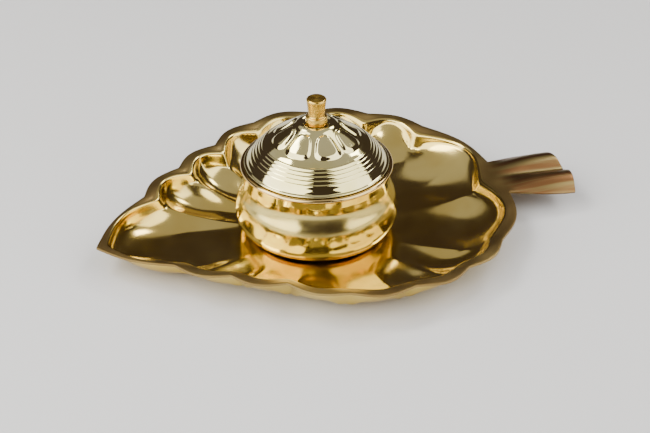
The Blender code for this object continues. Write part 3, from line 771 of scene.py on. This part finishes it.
def thicken_tray(piece):
    """Solidify downwards, then round the sheared edges a little."""
    sheet = piece.modifiers.new("sheet", "SOLIDIFY")
    sheet.thickness = SHEET_THICKNESS
    sheet.offset = -1.0
    sheet.use_even_offset = True
    edge = piece.modifiers.new("sheared edge", "BEVEL")
    edge.width = EDGE_ROUND
    edge.segments = 2
    edge.limit_method = "ANGLE"
    edge.angle_limit = SHARPEST_KEPT_ANGLE


thicken_tray(tray)
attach(tray, "tray")
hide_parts("leaf_tray")

# %% [markdown]
# The bowl, lid and knob are all turned: a flat outline swept round an upright axis. Geometry
# Nodes do this for any outline. The object's own mesh holds only the outline's points, in
# order. The tree makes a grid with one column for each step round the axis, looks up the
# outline point for each row, and bends the grid round. The outline stays easy to edit, and
# the same tree turns all three pieces.

# %% Start and end a geometry tree
def new_tree(name, sizes):
    """A geometry tree with named inputs for its sizes."""
    tree = bpy.data.node_groups.new(name, "GeometryNodeTree")
    tree.interface.new_socket("Geometry", in_out="INPUT", socket_type="NodeSocketGeometry")
    for label, kind, value in sizes:
        item = tree.interface.new_socket(label, in_out="INPUT", socket_type=kind)
        if kind != "NodeSocketMaterial":
            item.default_value = value
    tree.interface.new_socket("Geometry", in_out="OUTPUT", socket_type="NodeSocketGeometry")
    return tree, tree.nodes.new("NodeGroupInput"), tree.nodes.new("NodeGroupOutput")


def finish_tree(tree, source, target, geometry):
    """End a tree with real geometry, smooth shading and the finish."""
    real = add_node(tree, "GeometryNodeRealizeInstances", Geometry=geometry)
    smooth = add_node(tree, "GeometryNodeSetShadeSmooth", Geometry=real.outputs[0])
    finish = source.outputs["Finish"]
    painted = add_node(tree, "GeometryNodeSetMaterial", Geometry=smooth.outputs[0], Material=finish)
    tree.links.new(painted.outputs[0], target.inputs[0])


print("helpers ready: new_tree, finish_tree")

# %% A tree that turns an outline
WELD_DISTANCE = 0.001 * MM


def turning_tree():
    """Sweep an outline round the upright axis and weld its seam and poles."""
    tree, source, target = new_tree("turn an outline", [
        ("Steps", "NodeSocketInt", 96), ("Merge Distance", "NodeSocketFloat", WELD_DISTANCE),
        ("Finish", "NodeSocketMaterial", None)])
    given = source.outputs
    count = add_node(tree, "GeometryNodeAttributeDomainSize", Geometry=given["Geometry"])
    points = count.outputs["Point Count"]
    columns = calc(tree, "ADD", given["Steps"], 1.0)
    grid = add_node(tree, "GeometryNodeMeshGrid", Vertices_X=columns, Vertices_Y=points)
    index = tree.nodes.new("GeometryNodeInputIndex").outputs[0]
    column = calc(tree, "FLOOR", calc(tree, "DIVIDE", calc(tree, "ADD", index, 0.5), points))
    row = calc(tree, "SUBTRACT", index, calc(tree, "MULTIPLY", column, points))
    angle = calc(tree, "MULTIPLY", calc(tree, "DIVIDE", column, given["Steps"]), math.tau)
    outline = tree.nodes.new("GeometryNodeSampleIndex")
    outline.data_type = "FLOAT_VECTOR"
    position = tree.nodes.new("GeometryNodeInputPosition").outputs[0]
    fill(tree, outline, Geometry=given["Geometry"], Value=position, Index=row)
    parts = add_node(tree, "ShaderNodeSeparateXYZ", Vector=outline.outputs[0])
    x = calc(tree, "MULTIPLY", parts.outputs["X"], calc(tree, "COSINE", angle))
    y = calc(tree, "MULTIPLY", parts.outputs["X"], calc(tree, "SINE", angle))
    bent = add_node(tree, "ShaderNodeCombineXYZ", X=x, Y=y, Z=parts.outputs["Z"]).outputs[0]
    placed = add_node(tree, "GeometryNodeSetPosition", Geometry=grid.outputs["Mesh"], Position=bent)
    welded = add_node(tree, "GeometryNodeMergeByDistance", Geometry=placed.outputs[0],
                      Distance=given["Merge Distance"])
    finish_tree(tree, source, target, welded.outputs[0])
    return tree


TURNING = turning_tree()
print("tree", TURNING.name, "has", len(TURNING.nodes), "nodes")

# %% Use a tree on a piece
CRISP_ANGLE = math.radians(50)


def run_tree(piece, tree, **values):
    """Apply a geometry tree with these inputs and keep the result as a plain mesh."""
    modifier = piece.modifiers.new(tree.name, "NODES")
    modifier.node_group = tree
    for item in tree.interface.items_tree:
        key = item.name.replace(" ", "_").lower()
        if item.in_out == "INPUT" and key in values:
            modifier[item.identifier] = values[key]
    depsgraph = bpy.context.evaluated_depsgraph_get()
    made = bpy.data.meshes.new_from_object(piece.evaluated_get(depsgraph))
    piece.modifiers.remove(modifier)
    piece.data = made


def turned_piece(name, outline, steps, finish, weld=WELD_DISTANCE):
    """A piece turned from its outline, given as radius and height."""
    mesh = bpy.data.meshes.new(name + "_outline")
    mesh.from_pydata([(point[0], 0.0, point[1]) for point in outline], [], [])
    piece = bpy.data.objects.new(name, mesh)
    bpy.context.scene.collection.objects.link(piece)
    run_tree(piece, TURNING, steps=steps, merge_distance=weld, finish=finish)
    return piece


def close_shell(piece):
    """Point all faces outwards, mark the crisp corners and count the open edges."""
    bm = bmesh.new()
    bm.from_mesh(piece.data)
    bmesh.ops.dissolve_degenerate(bm, dist=WELD_DISTANCE / 2, edges=bm.edges)
    bmesh.ops.recalc_face_normals(bm, faces=bm.faces)
    open_edges = sum(1 for edge in bm.edges if len(edge.link_faces) != 2)
    bm.to_mesh(piece.data)
    bm.free()
    piece.data.set_sharp_from_angle(angle=CRISP_ANGLE)
    print(piece.name, "faces:", len(piece.data.polygons), "open edges:", open_edges)


print("helpers ready: run_tree, turned_piece, close_shell")

# %% [markdown]
# The bowl was spun from a disc of brass: pressed against a turning block until it took the
# pot's shape, then its lip was rolled outwards into a bead. Spinning leaves faint rings, the
# belly is rubbed to a softer gloss by hands, and the rolled bead is given a warmer copper
# colour. Each of these follows height or radius, so the finish needs no image.

# %% Bowl finish
BOWL_BRIGHT = (0.81, 0.66, 0.23)
BOWL_DEEP = (0.72, 0.55, 0.16)
RIM_COPPER = (0.72, 0.49, 0.21)
RIM_FADE = (27.2 * MM, 27.8 * MM)
BELLY_START, BELLY_END = (12.5 * MM, 15.5 * MM), (23.5 * MM, 21.0 * MM)


def bowl_finish():
    """Deep yellow, satin round the belly and coppery on the rim."""
    surface, tree, shader, place = new_finish("bowl_brass")
    height = axis_parts(tree, place)[2]
    metal = blend(tree, patches(tree, place, 22 * MM, 0.35, 0.65), BOWL_BRIGHT, BOWL_DEEP)
    on_rim = scaled(tree, between(tree, height, *RIM_FADE), 0.75)
    smears = patches(tree, place, 6 * MM, 0.3, 0.8, SMEAR_DETAIL)
    on_belly = calc(tree, "MULTIPLY", between(tree, height, *BELLY_START), between(tree, height, *BELLY_END))
    roughness = scaled(tree, on_belly, 0.06, scaled(tree, smears, 0.06, 0.10))
    fill(tree, shader, Base_Color=blend(tree, on_rim, metal, RIM_COPPER), Roughness=roughness)
    set_relief(tree, shader, turning_marks(tree, place, 0.5 * MM), 0.006 * MM)
    return surface


BOWL_FINISH = bowl_finish()
print("made", BOWL_FINISH.name)

# %% Sizes of the bowl
RESTING_GAP = 0.3 * MM
BOWL_WALL = 0.9 * MM
BOWL_SEAT_RADIUS = 22.0 * MM
BOWL_BELLY_RADIUS = 30.3 * MM
BOWL_HEIGHT = 28.2 * MM
RIM_BEAD_RADIUS = 0.9 * MM
RIM_OUTER_RADIUS = 28.4 * MM
NECK_RADIUS = RIM_OUTER_RADIUS - 1.2 * MM
FOOT_RADIUS_SHARES = (0.27, 0.48, 0.64, 0.83, 1.0)
FOOT_HEIGHT_SHARES = (0.008, 0.03, 0.065, 0.135, 0.26)
SHOULDER_RADIUS_SHARES = (0.06, 0.3, 0.66, 0.94, 1.0)
SHOULDER_HEIGHT_SHARES = (0.418, 0.532, 0.631, 0.738, 0.844)
BOWL_FLOOR_SHARES = (0.98, 0.6, 0.3, 0.0)
BOWL_BASE = FLOOR_TOP + RESTING_GAP
RIM_TOP = BOWL_BASE + BOWL_HEIGHT
RIM_BEAD_CENTRE = RIM_OUTER_RADIUS - RIM_BEAD_RADIUS
RIM_BEAD_HEIGHT = RIM_TOP - RIM_BEAD_RADIUS

# %% Turn the bowl
TURN_STEPS = 192
OUTLINE_STEPS = 7
BEAD_START, BEAD_END, BEAD_STEPS = -75, 190, 22


def round_arc(centre, radius, start, end, steps):
    """Points round part of a bead, by angles measured from outward."""
    turns = [math.radians(start + (end - start) * step / steps) for step in range(steps + 1)]
    x, y = centre
    return [Vector((x + radius * math.cos(turn), y + radius * math.sin(turn))) for turn in turns]


def share_points(start, end, base, height, radius_shares, height_shares):
    """Points whose radius and height are given as shares of two spans."""
    shares = zip(radius_shares, height_shares)
    return [(start + (end - start) * out, base + height * up) for out, up in shares]


def bowl_outside():
    """The bowl's outside from the edge of its base up to its neck."""
    foot = share_points(BOWL_SEAT_RADIUS, BOWL_BELLY_RADIUS, BOWL_BASE, BOWL_HEIGHT,
                        FOOT_RADIUS_SHARES, FOOT_HEIGHT_SHARES)
    shoulder = share_points(BOWL_BELLY_RADIUS, NECK_RADIUS, BOWL_BASE, BOWL_HEIGHT,
                            SHOULDER_RADIUS_SHARES, SHOULDER_HEIGHT_SHARES)
    return smooth_line([(BOWL_SEAT_RADIUS, BOWL_BASE)] + foot + shoulder, OUTLINE_STEPS)


def offset_line(line, distance):
    """The same line moved sideways, to the left of its direction."""
    moved = []
    for index, point in enumerate(line):
        along = (line[min(index + 1, len(line) - 1)] - line[max(index - 1, 0)]).normalized()
        moved.append(point + Vector((-along.y, along.x)) * distance)
    return moved


def bowl_outline():
    """Out along the base, up the outside, over the bead and down the inside to the floor."""
    outside = bowl_outside()
    bead = round_arc((RIM_BEAD_CENTRE, RIM_BEAD_HEIGHT), RIM_BEAD_RADIUS, BEAD_START, BEAD_END, BEAD_STEPS)
    inside = offset_line(outside, BOWL_WALL)[:0:-1]
    inside = [point for point in inside if point.y > BOWL_BASE + BOWL_WALL]
    floor = [(share * BOWL_SEAT_RADIUS, BOWL_BASE + BOWL_WALL) for share in BOWL_FLOOR_SHARES]
    base = [(share * BOWL_SEAT_RADIUS, BOWL_BASE) for share in (0.0, 0.5)]
    return base + outside + bead + inside + floor


bowl = turned_piece("bowl_spun", bowl_outline(), TURN_STEPS, BOWL_FINISH)
close_shell(bowl)
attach(bowl, "bowl")
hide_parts("bowl")

# %% [markdown]
# The lid is the brightest piece: thin sheet, spun and then pressed. Its rings were rolled in
# on the lathe, so they belong to the outline. Its eight petals were raised afterwards, so a
# second tree raises them on the turned mesh.

# %% Lid finish
LID_BRIGHT = (0.86, 0.76, 0.38)
LID_DEEP = (0.74, 0.64, 0.25)


def lid_finish():
    """Pale and mirror bright, with faint smears."""
    surface, tree, shader, place = new_finish("lid_brass")
    metal = blend(tree, patches(tree, place, 18 * MM, 0.35, 0.7), LID_BRIGHT, LID_DEEP)
    smears = patches(tree, place, 5 * MM, 0.35, 0.8, SMEAR_DETAIL)
    fill(tree, shader, Base_Color=metal, Roughness=scaled(tree, smears, 0.05, 0.05))
    set_relief(tree, shader, turning_marks(tree, place, 0.4 * MM), 0.004 * MM)
    return surface


LID_FINISH = lid_finish()
print("made", LID_FINISH.name)

# %% Sizes of the lid
LID_SHEET = 0.8 * MM
LID_RISE = 16.9 * MM
LID_EDGE_SETBACK = 0.6 * MM
LID_EDGE_THICKNESS = 0.9 * MM
EDGE_LEDGE_WIDTH = 1.4 * MM
EDGE_NECK_RISE = 1.8 * MM
EDGE_GROOVE_WIDTH = 0.7 * MM
COLLAR_CLEARANCE = 0.5 * MM
COLLAR_DEPTH = 3.4 * MM
COLLAR_WALL = 0.8 * MM
COLLAR_BREAK = 0.15 * MM
KNOB_COLLAR_RADIUS = 4.0 * MM
SCREW_RADIUS = 1.15 * MM
DIMPLE_RADIUS = KNOB_COLLAR_RADIUS + 0.4 * MM
DIMPLE_DEPTH = 1.0 * MM
CROWN_RADIUS = DIMPLE_RADIUS + 1.4 * MM
RING_COUNT = 5
RING_PITCH = 1.1 * MM
LID_EDGE_ROUND = LID_EDGE_THICKNESS / 2
LID_EDGE_CENTRE = RIM_BEAD_CENTRE - LID_EDGE_SETBACK - LID_EDGE_ROUND
COLLAR_RADIUS = NECK_RADIUS - BOWL_WALL - COLLAR_CLEARANCE
EDGE_NECK_RADIUS = LID_EDGE_CENTRE + LID_EDGE_ROUND - EDGE_LEDGE_WIDTH
RING_END_RADIUS = EDGE_NECK_RADIUS - EDGE_GROOVE_WIDTH
RING_START_RADIUS = RING_END_RADIUS - RING_COUNT * RING_PITCH
LID_SEAT_REACH = RIM_BEAD_RADIUS + LID_EDGE_ROUND + RESTING_GAP
LID_SEAT_RISE = math.sqrt(LID_SEAT_REACH ** 2 - (RIM_BEAD_CENTRE - LID_EDGE_CENTRE) ** 2)
LID_EDGE_BASE = RIM_BEAD_HEIGHT + LID_SEAT_RISE - LID_EDGE_ROUND
CROWN_TOP = LID_EDGE_BASE + LID_RISE
DIMPLE_TOP = CROWN_TOP - DIMPLE_DEPTH
SCREW_HOLE_RADIUS = SCREW_RADIUS + RESTING_GAP

# %% The lid's slope and rings
LID_SLOPE_RADIUS_SHARES = (0.096, 0.185, 0.296, 0.430, 0.563, 0.689, 0.785, 0.874)
LID_SLOPE_DROP_SHARES = (0.018, 0.074, 0.148, 0.228, 0.303, 0.370, 0.417, 0.449)
RING_START_DROP_SHARE = 0.509
RING_END_DROP_SHARE = 0.841
RING_HEIGHT = 0.2 * MM
RING_CURVE = 1.15
RING_ROUNDNESS = 0.8
RING_STEPS = 12
SLOPE_STEPS = 6


def lid_slope():
    """The outside from the knob's dimple over the crown's round ring and down the dome."""
    points = [(DIMPLE_RADIUS, DIMPLE_TOP), (CROWN_RADIUS, CROWN_TOP)]
    points += share_points(CROWN_RADIUS, RING_START_RADIUS, CROWN_TOP, -LID_RISE,
                           LID_SLOPE_RADIUS_SHARES, LID_SLOPE_DROP_SHARES)
    points.append((RING_START_RADIUS, CROWN_TOP - LID_RISE * RING_START_DROP_SHARE))
    return smooth_line(points, SLOPE_STEPS)[:-1]


def lid_rings():
    """Fine rings on the skirt: small round hills with sharp valleys between."""
    points = []
    steps = RING_COUNT * RING_STEPS
    for step in range(steps + 1):
        share = step / steps
        radius = RING_START_RADIUS + (RING_END_RADIUS - RING_START_RADIUS) * share
        drop = RING_START_DROP_SHARE + (RING_END_DROP_SHARE - RING_START_DROP_SHARE) * share ** RING_CURVE
        hill = abs(math.sin(math.pi * RING_COUNT * share)) ** RING_ROUNDNESS
        points.append(Vector((radius, CROWN_TOP - LID_RISE * drop + RING_HEIGHT * hill)))
    return points


print("lid slope points:", len(lid_slope()), "ring points:", len(lid_rings()))

# %% The lid's edge, collar and inside
GROOVE_FLARE = 0.45 * MM
GROOVE_LIFT = 0.12 * MM


def lid_groove(start):
    """The groove between the last ring and the rounded edge."""
    neck = (EDGE_NECK_RADIUS, LID_EDGE_BASE + EDGE_NECK_RISE)
    end = (EDGE_NECK_RADIUS + GROOVE_FLARE, LID_EDGE_BASE + LID_EDGE_THICKNESS + GROOVE_LIFT)
    return smooth_line([start, neck, end], 5)[1:]


def lid_collar():
    """The collar that goes down into the bowl's mouth, with its corners broken."""
    inside, end = COLLAR_RADIUS - COLLAR_WALL, LID_EDGE_BASE - COLLAR_DEPTH
    points = [(COLLAR_RADIUS, LID_EDGE_BASE), (COLLAR_RADIUS, end + COLLAR_BREAK),
              (COLLAR_RADIUS - COLLAR_BREAK, end), (inside + COLLAR_BREAK, end),
              (inside, end + COLLAR_BREAK), (inside, LID_EDGE_BASE + LID_EDGE_THICKNESS)]
    return points


def lid_outline():
    """Down the outside, round the edge and the collar, and back up the inside to the hole."""
    slope, rings = lid_slope(), lid_rings()
    edge = round_arc((LID_EDGE_CENTRE, LID_EDGE_BASE + LID_EDGE_ROUND), LID_EDGE_ROUND, 90, -90, 12)
    skirt = [Vector((point.x - LID_SHEET, point.y - LID_SHEET)) for point in rings[::-RING_STEPS // 2]]
    dome = offset_line(slope, -LID_SHEET)[::-1]
    dome = [point for point in dome if point.x < skirt[-1].x and point.x > SCREW_HOLE_RADIUS + LID_SHEET]
    hole = [(SCREW_HOLE_RADIUS, DIMPLE_TOP - LID_SHEET), (SCREW_HOLE_RADIUS, DIMPLE_TOP)]
    outline = slope + rings + lid_groove(rings[-1]) + edge + lid_collar() + skirt + dome + hole
    return outline + [outline[0]]


print("lid outline points:", len(lid_outline()))

# %% [markdown]
# A petal is a low pad with steep sides, a rounded outer end and a squarer one at the crown,
# and a narrow groove parts it from the next. The tree measures where each point is: across,
# from 0 on the petal's middle line to 1 at the groove beside it, and along, from the crown to
# the rings. Both go into one number, 0 in the petal's middle and 1 at its foot, and the point
# rises by a smooth curve of it. Because it is a rule, eight petals cost no more than one.

# %% A tree that raises petals
PETAL_MIDDLE_SHARE = 0.62
PETAL_WALL_SHARE = 0.72
SIDE_POWER, OUTER_END_POWER, CROWN_END_POWER = 3.0, 2.6, 4.0


def petal_edge(tree, across, along):
    """One number over a petal: 0 in its middle and 1 all round its foot."""
    past = calc(tree, "SUBTRACT", along, PETAL_MIDDLE_SHARE)
    short = calc(tree, "SUBTRACT", PETAL_MIDDLE_SHARE, along)
    outward = calc(tree, "MAXIMUM", calc(tree, "MULTIPLY", past, 1.0 / (1.0 - PETAL_MIDDLE_SHARE)), 0.0)
    inward = calc(tree, "MAXIMUM", calc(tree, "MULTIPLY", short, 1.0 / PETAL_MIDDLE_SHARE), 0.0)
    outer_end = calc(tree, "POWER", outward, OUTER_END_POWER)
    reach = calc(tree, "ADD", outer_end, calc(tree, "POWER", inward, CROWN_END_POWER))
    return calc(tree, "ADD", calc(tree, "POWER", across, SIDE_POWER), reach)


def petal_tree():
    """Raise equal petals round a turned piece, above a lowest height."""
    tree, source, target = new_tree("raise petals", [
        ("Count", "NodeSocketInt", 8), ("Turn", "NodeSocketFloat", 0.0),
        ("Start", "NodeSocketFloat", 8 * MM), ("End", "NodeSocketFloat", 16 * MM),
        ("Height", "NodeSocketFloat", 1 * MM), ("Groove", "NodeSocketFloat", 2 * MM),
        ("Lowest", "NodeSocketFloat", 0.0), ("Finish", "NodeSocketMaterial", None)])
    given = source.outputs
    x, y, z, radius = axis_parts(tree, tree.nodes.new("GeometryNodeInputPosition").outputs[0])
    angle = calc(tree, "SUBTRACT", calc(tree, "ARCTAN2", y, x), given["Turn"])
    sector = calc(tree, "DIVIDE", math.tau, given["Count"])
    half_sector = calc(tree, "MULTIPLY", sector, 0.5)
    in_sector = calc(tree, "FLOORED_MODULO", angle, sector)
    from_middle = calc(tree, "ABSOLUTE", calc(tree, "SUBTRACT", in_sector, half_sector))
    half_groove = calc(tree, "MULTIPLY", given["Groove"], 0.5)
    half_width = calc(tree, "SUBTRACT", calc(tree, "MULTIPLY", radius, half_sector), half_groove)
    across = calc(tree, "DIVIDE", calc(tree, "MULTIPLY", from_middle, radius), half_width)
    length = calc(tree, "SUBTRACT", given["End"], given["Start"])
    along = calc(tree, "DIVIDE", calc(tree, "SUBTRACT", radius, given["Start"]), length)
    edge = petal_edge(tree, across, along)
    inside = between(tree, calc(tree, "SUBTRACT", 1.0, edge), 0.0, PETAL_WALL_SHARE)
    pad = calc(tree, "MULTIPLY", inside, given["Height"])
    rise = calc(tree, "MULTIPLY", pad, calc(tree, "GREATER_THAN", z, given["Lowest"]))
    offset = add_node(tree, "ShaderNodeCombineXYZ", X=0.0, Y=0.0, Z=rise).outputs[0]
    raised = add_node(tree, "GeometryNodeSetPosition", Geometry=given["Geometry"], Offset=offset)
    finish_tree(tree, source, target, raised.outputs[0])
    return tree


PETALS = petal_tree()
print("tree", PETALS.name, "has", len(PETALS.nodes), "nodes")

# %% Turn the lid and raise its petals
PETAL_COUNT = 8
PETAL_TURN = math.radians(22.5)
PETAL_START_RADIUS = CROWN_RADIUS + 2.5 * MM
PETAL_END_RADIUS = RING_START_RADIUS - 2.4 * MM
PETAL_HEIGHT = 0.9 * MM
PETAL_GROOVE = 1.1 * MM
LID_STEPS = 320

lid = turned_piece("lid_pressed", lid_outline(), LID_STEPS, LID_FINISH)
run_tree(lid, PETALS, count=PETAL_COUNT, turn=PETAL_TURN, start=PETAL_START_RADIUS, end=PETAL_END_RADIUS,
         height=PETAL_HEIGHT, groove=PETAL_GROOVE, lowest=CROWN_TOP - LID_RISE * RING_START_DROP_SHARE,
         finish=LID_FINISH)
close_shell(lid)
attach(lid, "lid")
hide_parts("lid")

# %% [markdown]
# The knob was turned from bar on a small lathe and never buffed, so the tool's rings still
# show: on its flat top as fine circles, on its grip as a soft satin. A narrow bright chamfer
# runs round the top, where the tool broke the edge.

# %% Knob finish
KNOB_BRIGHT = (0.80, 0.53, 0.11)
KNOB_DEEP = (0.62, 0.37, 0.055)


def knob_finish():
    """Orange brass with the tool's rings in its gloss and its surface."""
    surface, tree, shader, place = new_finish("knob_brass")
    metal = blend(tree, patches(tree, place, 4 * MM, 0.3, 0.7), KNOB_BRIGHT, KNOB_DEEP)
    marks = turning_marks(tree, place, 0.22 * MM)
    fill(tree, shader, Base_Color=metal, Roughness=scaled(tree, marks, 0.16, 0.17))
    set_relief(tree, shader, marks, 0.02 * MM)
    return surface


KNOB_FINISH = knob_finish()
print("made", KNOB_FINISH.name)

# %% Sizes of the knob
KNOB_HEIGHT = 10.5 * MM
KNOB_TOP_RADIUS = 3.72 * MM
KNOB_WAIST_RADIUS = 3.0 * MM
KNOB_CHAMFER = 0.5 * MM
KNOB_CHAMFER_SHARES = (0.4, 0.45)
KNOB_FILLET = 0.25 * MM
KNOB_COLLAR_HEIGHT = 3.4 * MM
KNOB_FOOT_ROUND = 0.6 * MM
KNOB_FLARE = 1.4
KNOB_TAPER_STEPS = 12
KNOB_GROOVE_DEPTH = 0.12 * MM
KNOB_GROOVE_SHARE = 0.45
SCREW_GRIP = 4.2 * MM
BORE_SPARE_DEPTH = 1.8 * MM
TOP_RING_COUNT = 5
TOP_RING_DEPTH = 0.04 * MM
TOP_RING_STEPS = 8
ARC_STEPS = 6
KNOB_STEPS = 96
KNOB_BASE = DIMPLE_TOP + RESTING_GAP
KNOB_TOP = KNOB_BASE + KNOB_HEIGHT
COLLAR_TOP = KNOB_BASE + KNOB_COLLAR_HEIGHT
KNOB_BORE_TOP = KNOB_BASE + SCREW_GRIP + BORE_SPARE_DEPTH

# %% Turn the knob
def knob_grip():
    """The flared grip and the chamfer round its top."""
    points = []
    for step in range(1, KNOB_TAPER_STEPS + 1):
        share = step / KNOB_TAPER_STEPS
        radius = KNOB_WAIST_RADIUS + (KNOB_TOP_RADIUS - KNOB_WAIST_RADIUS) * share ** KNOB_FLARE
        points.append((radius, COLLAR_TOP + (KNOB_TOP - KNOB_CHAMFER - COLLAR_TOP) * share))
    inwards, downwards = (KNOB_CHAMFER * share for share in KNOB_CHAMFER_SHARES)
    return points + [(KNOB_TOP_RADIUS - inwards, KNOB_TOP - downwards),
                     (KNOB_TOP_RADIUS - KNOB_CHAMFER, KNOB_TOP)]


def knob_top_rings():
    """The tool's fine circles on the flat top, in to the middle."""
    points = []
    steps = TOP_RING_COUNT * TOP_RING_STEPS
    for step in range(1, steps):
        share = step / steps
        ripple = TOP_RING_DEPTH * math.sin(math.pi * TOP_RING_COUNT * share) ** 2
        points.append(((KNOB_TOP_RADIUS - KNOB_CHAMFER) * (1.0 - share), KNOB_TOP - ripple))
    return points + [(0.0, KNOB_TOP)]


def knob_outline():
    """Round the bore and the collar, up the flared grip and over the ringed top."""
    bore = [(0.0, KNOB_BORE_TOP), (SCREW_HOLE_RADIUS, KNOB_BORE_TOP), (SCREW_HOLE_RADIUS, KNOB_BASE)]
    foot_centre = (KNOB_COLLAR_RADIUS - KNOB_FOOT_ROUND, KNOB_BASE + KNOB_FOOT_ROUND)
    foot = round_arc(foot_centre, KNOB_FOOT_ROUND, -90, 0, ARC_STEPS)
    groove_centre = (KNOB_COLLAR_RADIUS, KNOB_BASE + KNOB_GROOVE_SHARE * KNOB_COLLAR_HEIGHT)
    groove = round_arc(groove_centre, KNOB_GROOVE_DEPTH, 270, 90, ARC_STEPS)
    shoulder_centre = (KNOB_COLLAR_RADIUS - KNOB_CHAMFER, COLLAR_TOP - KNOB_CHAMFER)
    shoulder = round_arc(shoulder_centre, KNOB_CHAMFER, 0, 90, ARC_STEPS)
    fillet = [(KNOB_WAIST_RADIUS + KNOB_FILLET, COLLAR_TOP), (KNOB_WAIST_RADIUS, COLLAR_TOP + KNOB_FILLET)]
    return bore + foot + groove + shoulder + fillet + knob_grip() + knob_top_rings()


knob = turned_piece("knob_turned", knob_outline(), KNOB_STEPS, KNOB_FINISH, weld=WELD_DISTANCE / 2)
close_shell(knob)
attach(knob, "lid")
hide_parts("knob")

# %% [markdown]
# The screw is seen only when the lid is lifted and turned over. Its frame solid already has
# the head, the shank and the driver slot, so it stays and only gets its finish: plain steel
# with the marks of the bar it was cut from.

# %% Screw finish
SCREW_LIGHT = (0.66, 0.65, 0.62)
SCREW_DARK = (0.45, 0.44, 0.42)


def screw_finish():
    """Plain steel, a little uneven in tone and gloss."""
    surface, tree, shader, place = new_finish("screw_steel")
    clouds = patches(tree, place, 1.5 * MM, 0.3, 0.7)
    metal = blend(tree, clouds, SCREW_LIGHT, SCREW_DARK)
    fill(tree, shader, Base_Color=metal, Roughness=scaled(tree, clouds, 0.15, 0.25))
    set_relief(tree, shader, turning_marks(tree, place, 0.15 * MM), 0.01 * MM)
    return surface


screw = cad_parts["knob_screw"]
screw.data.materials.clear()
screw.data.materials.append(screw_finish())
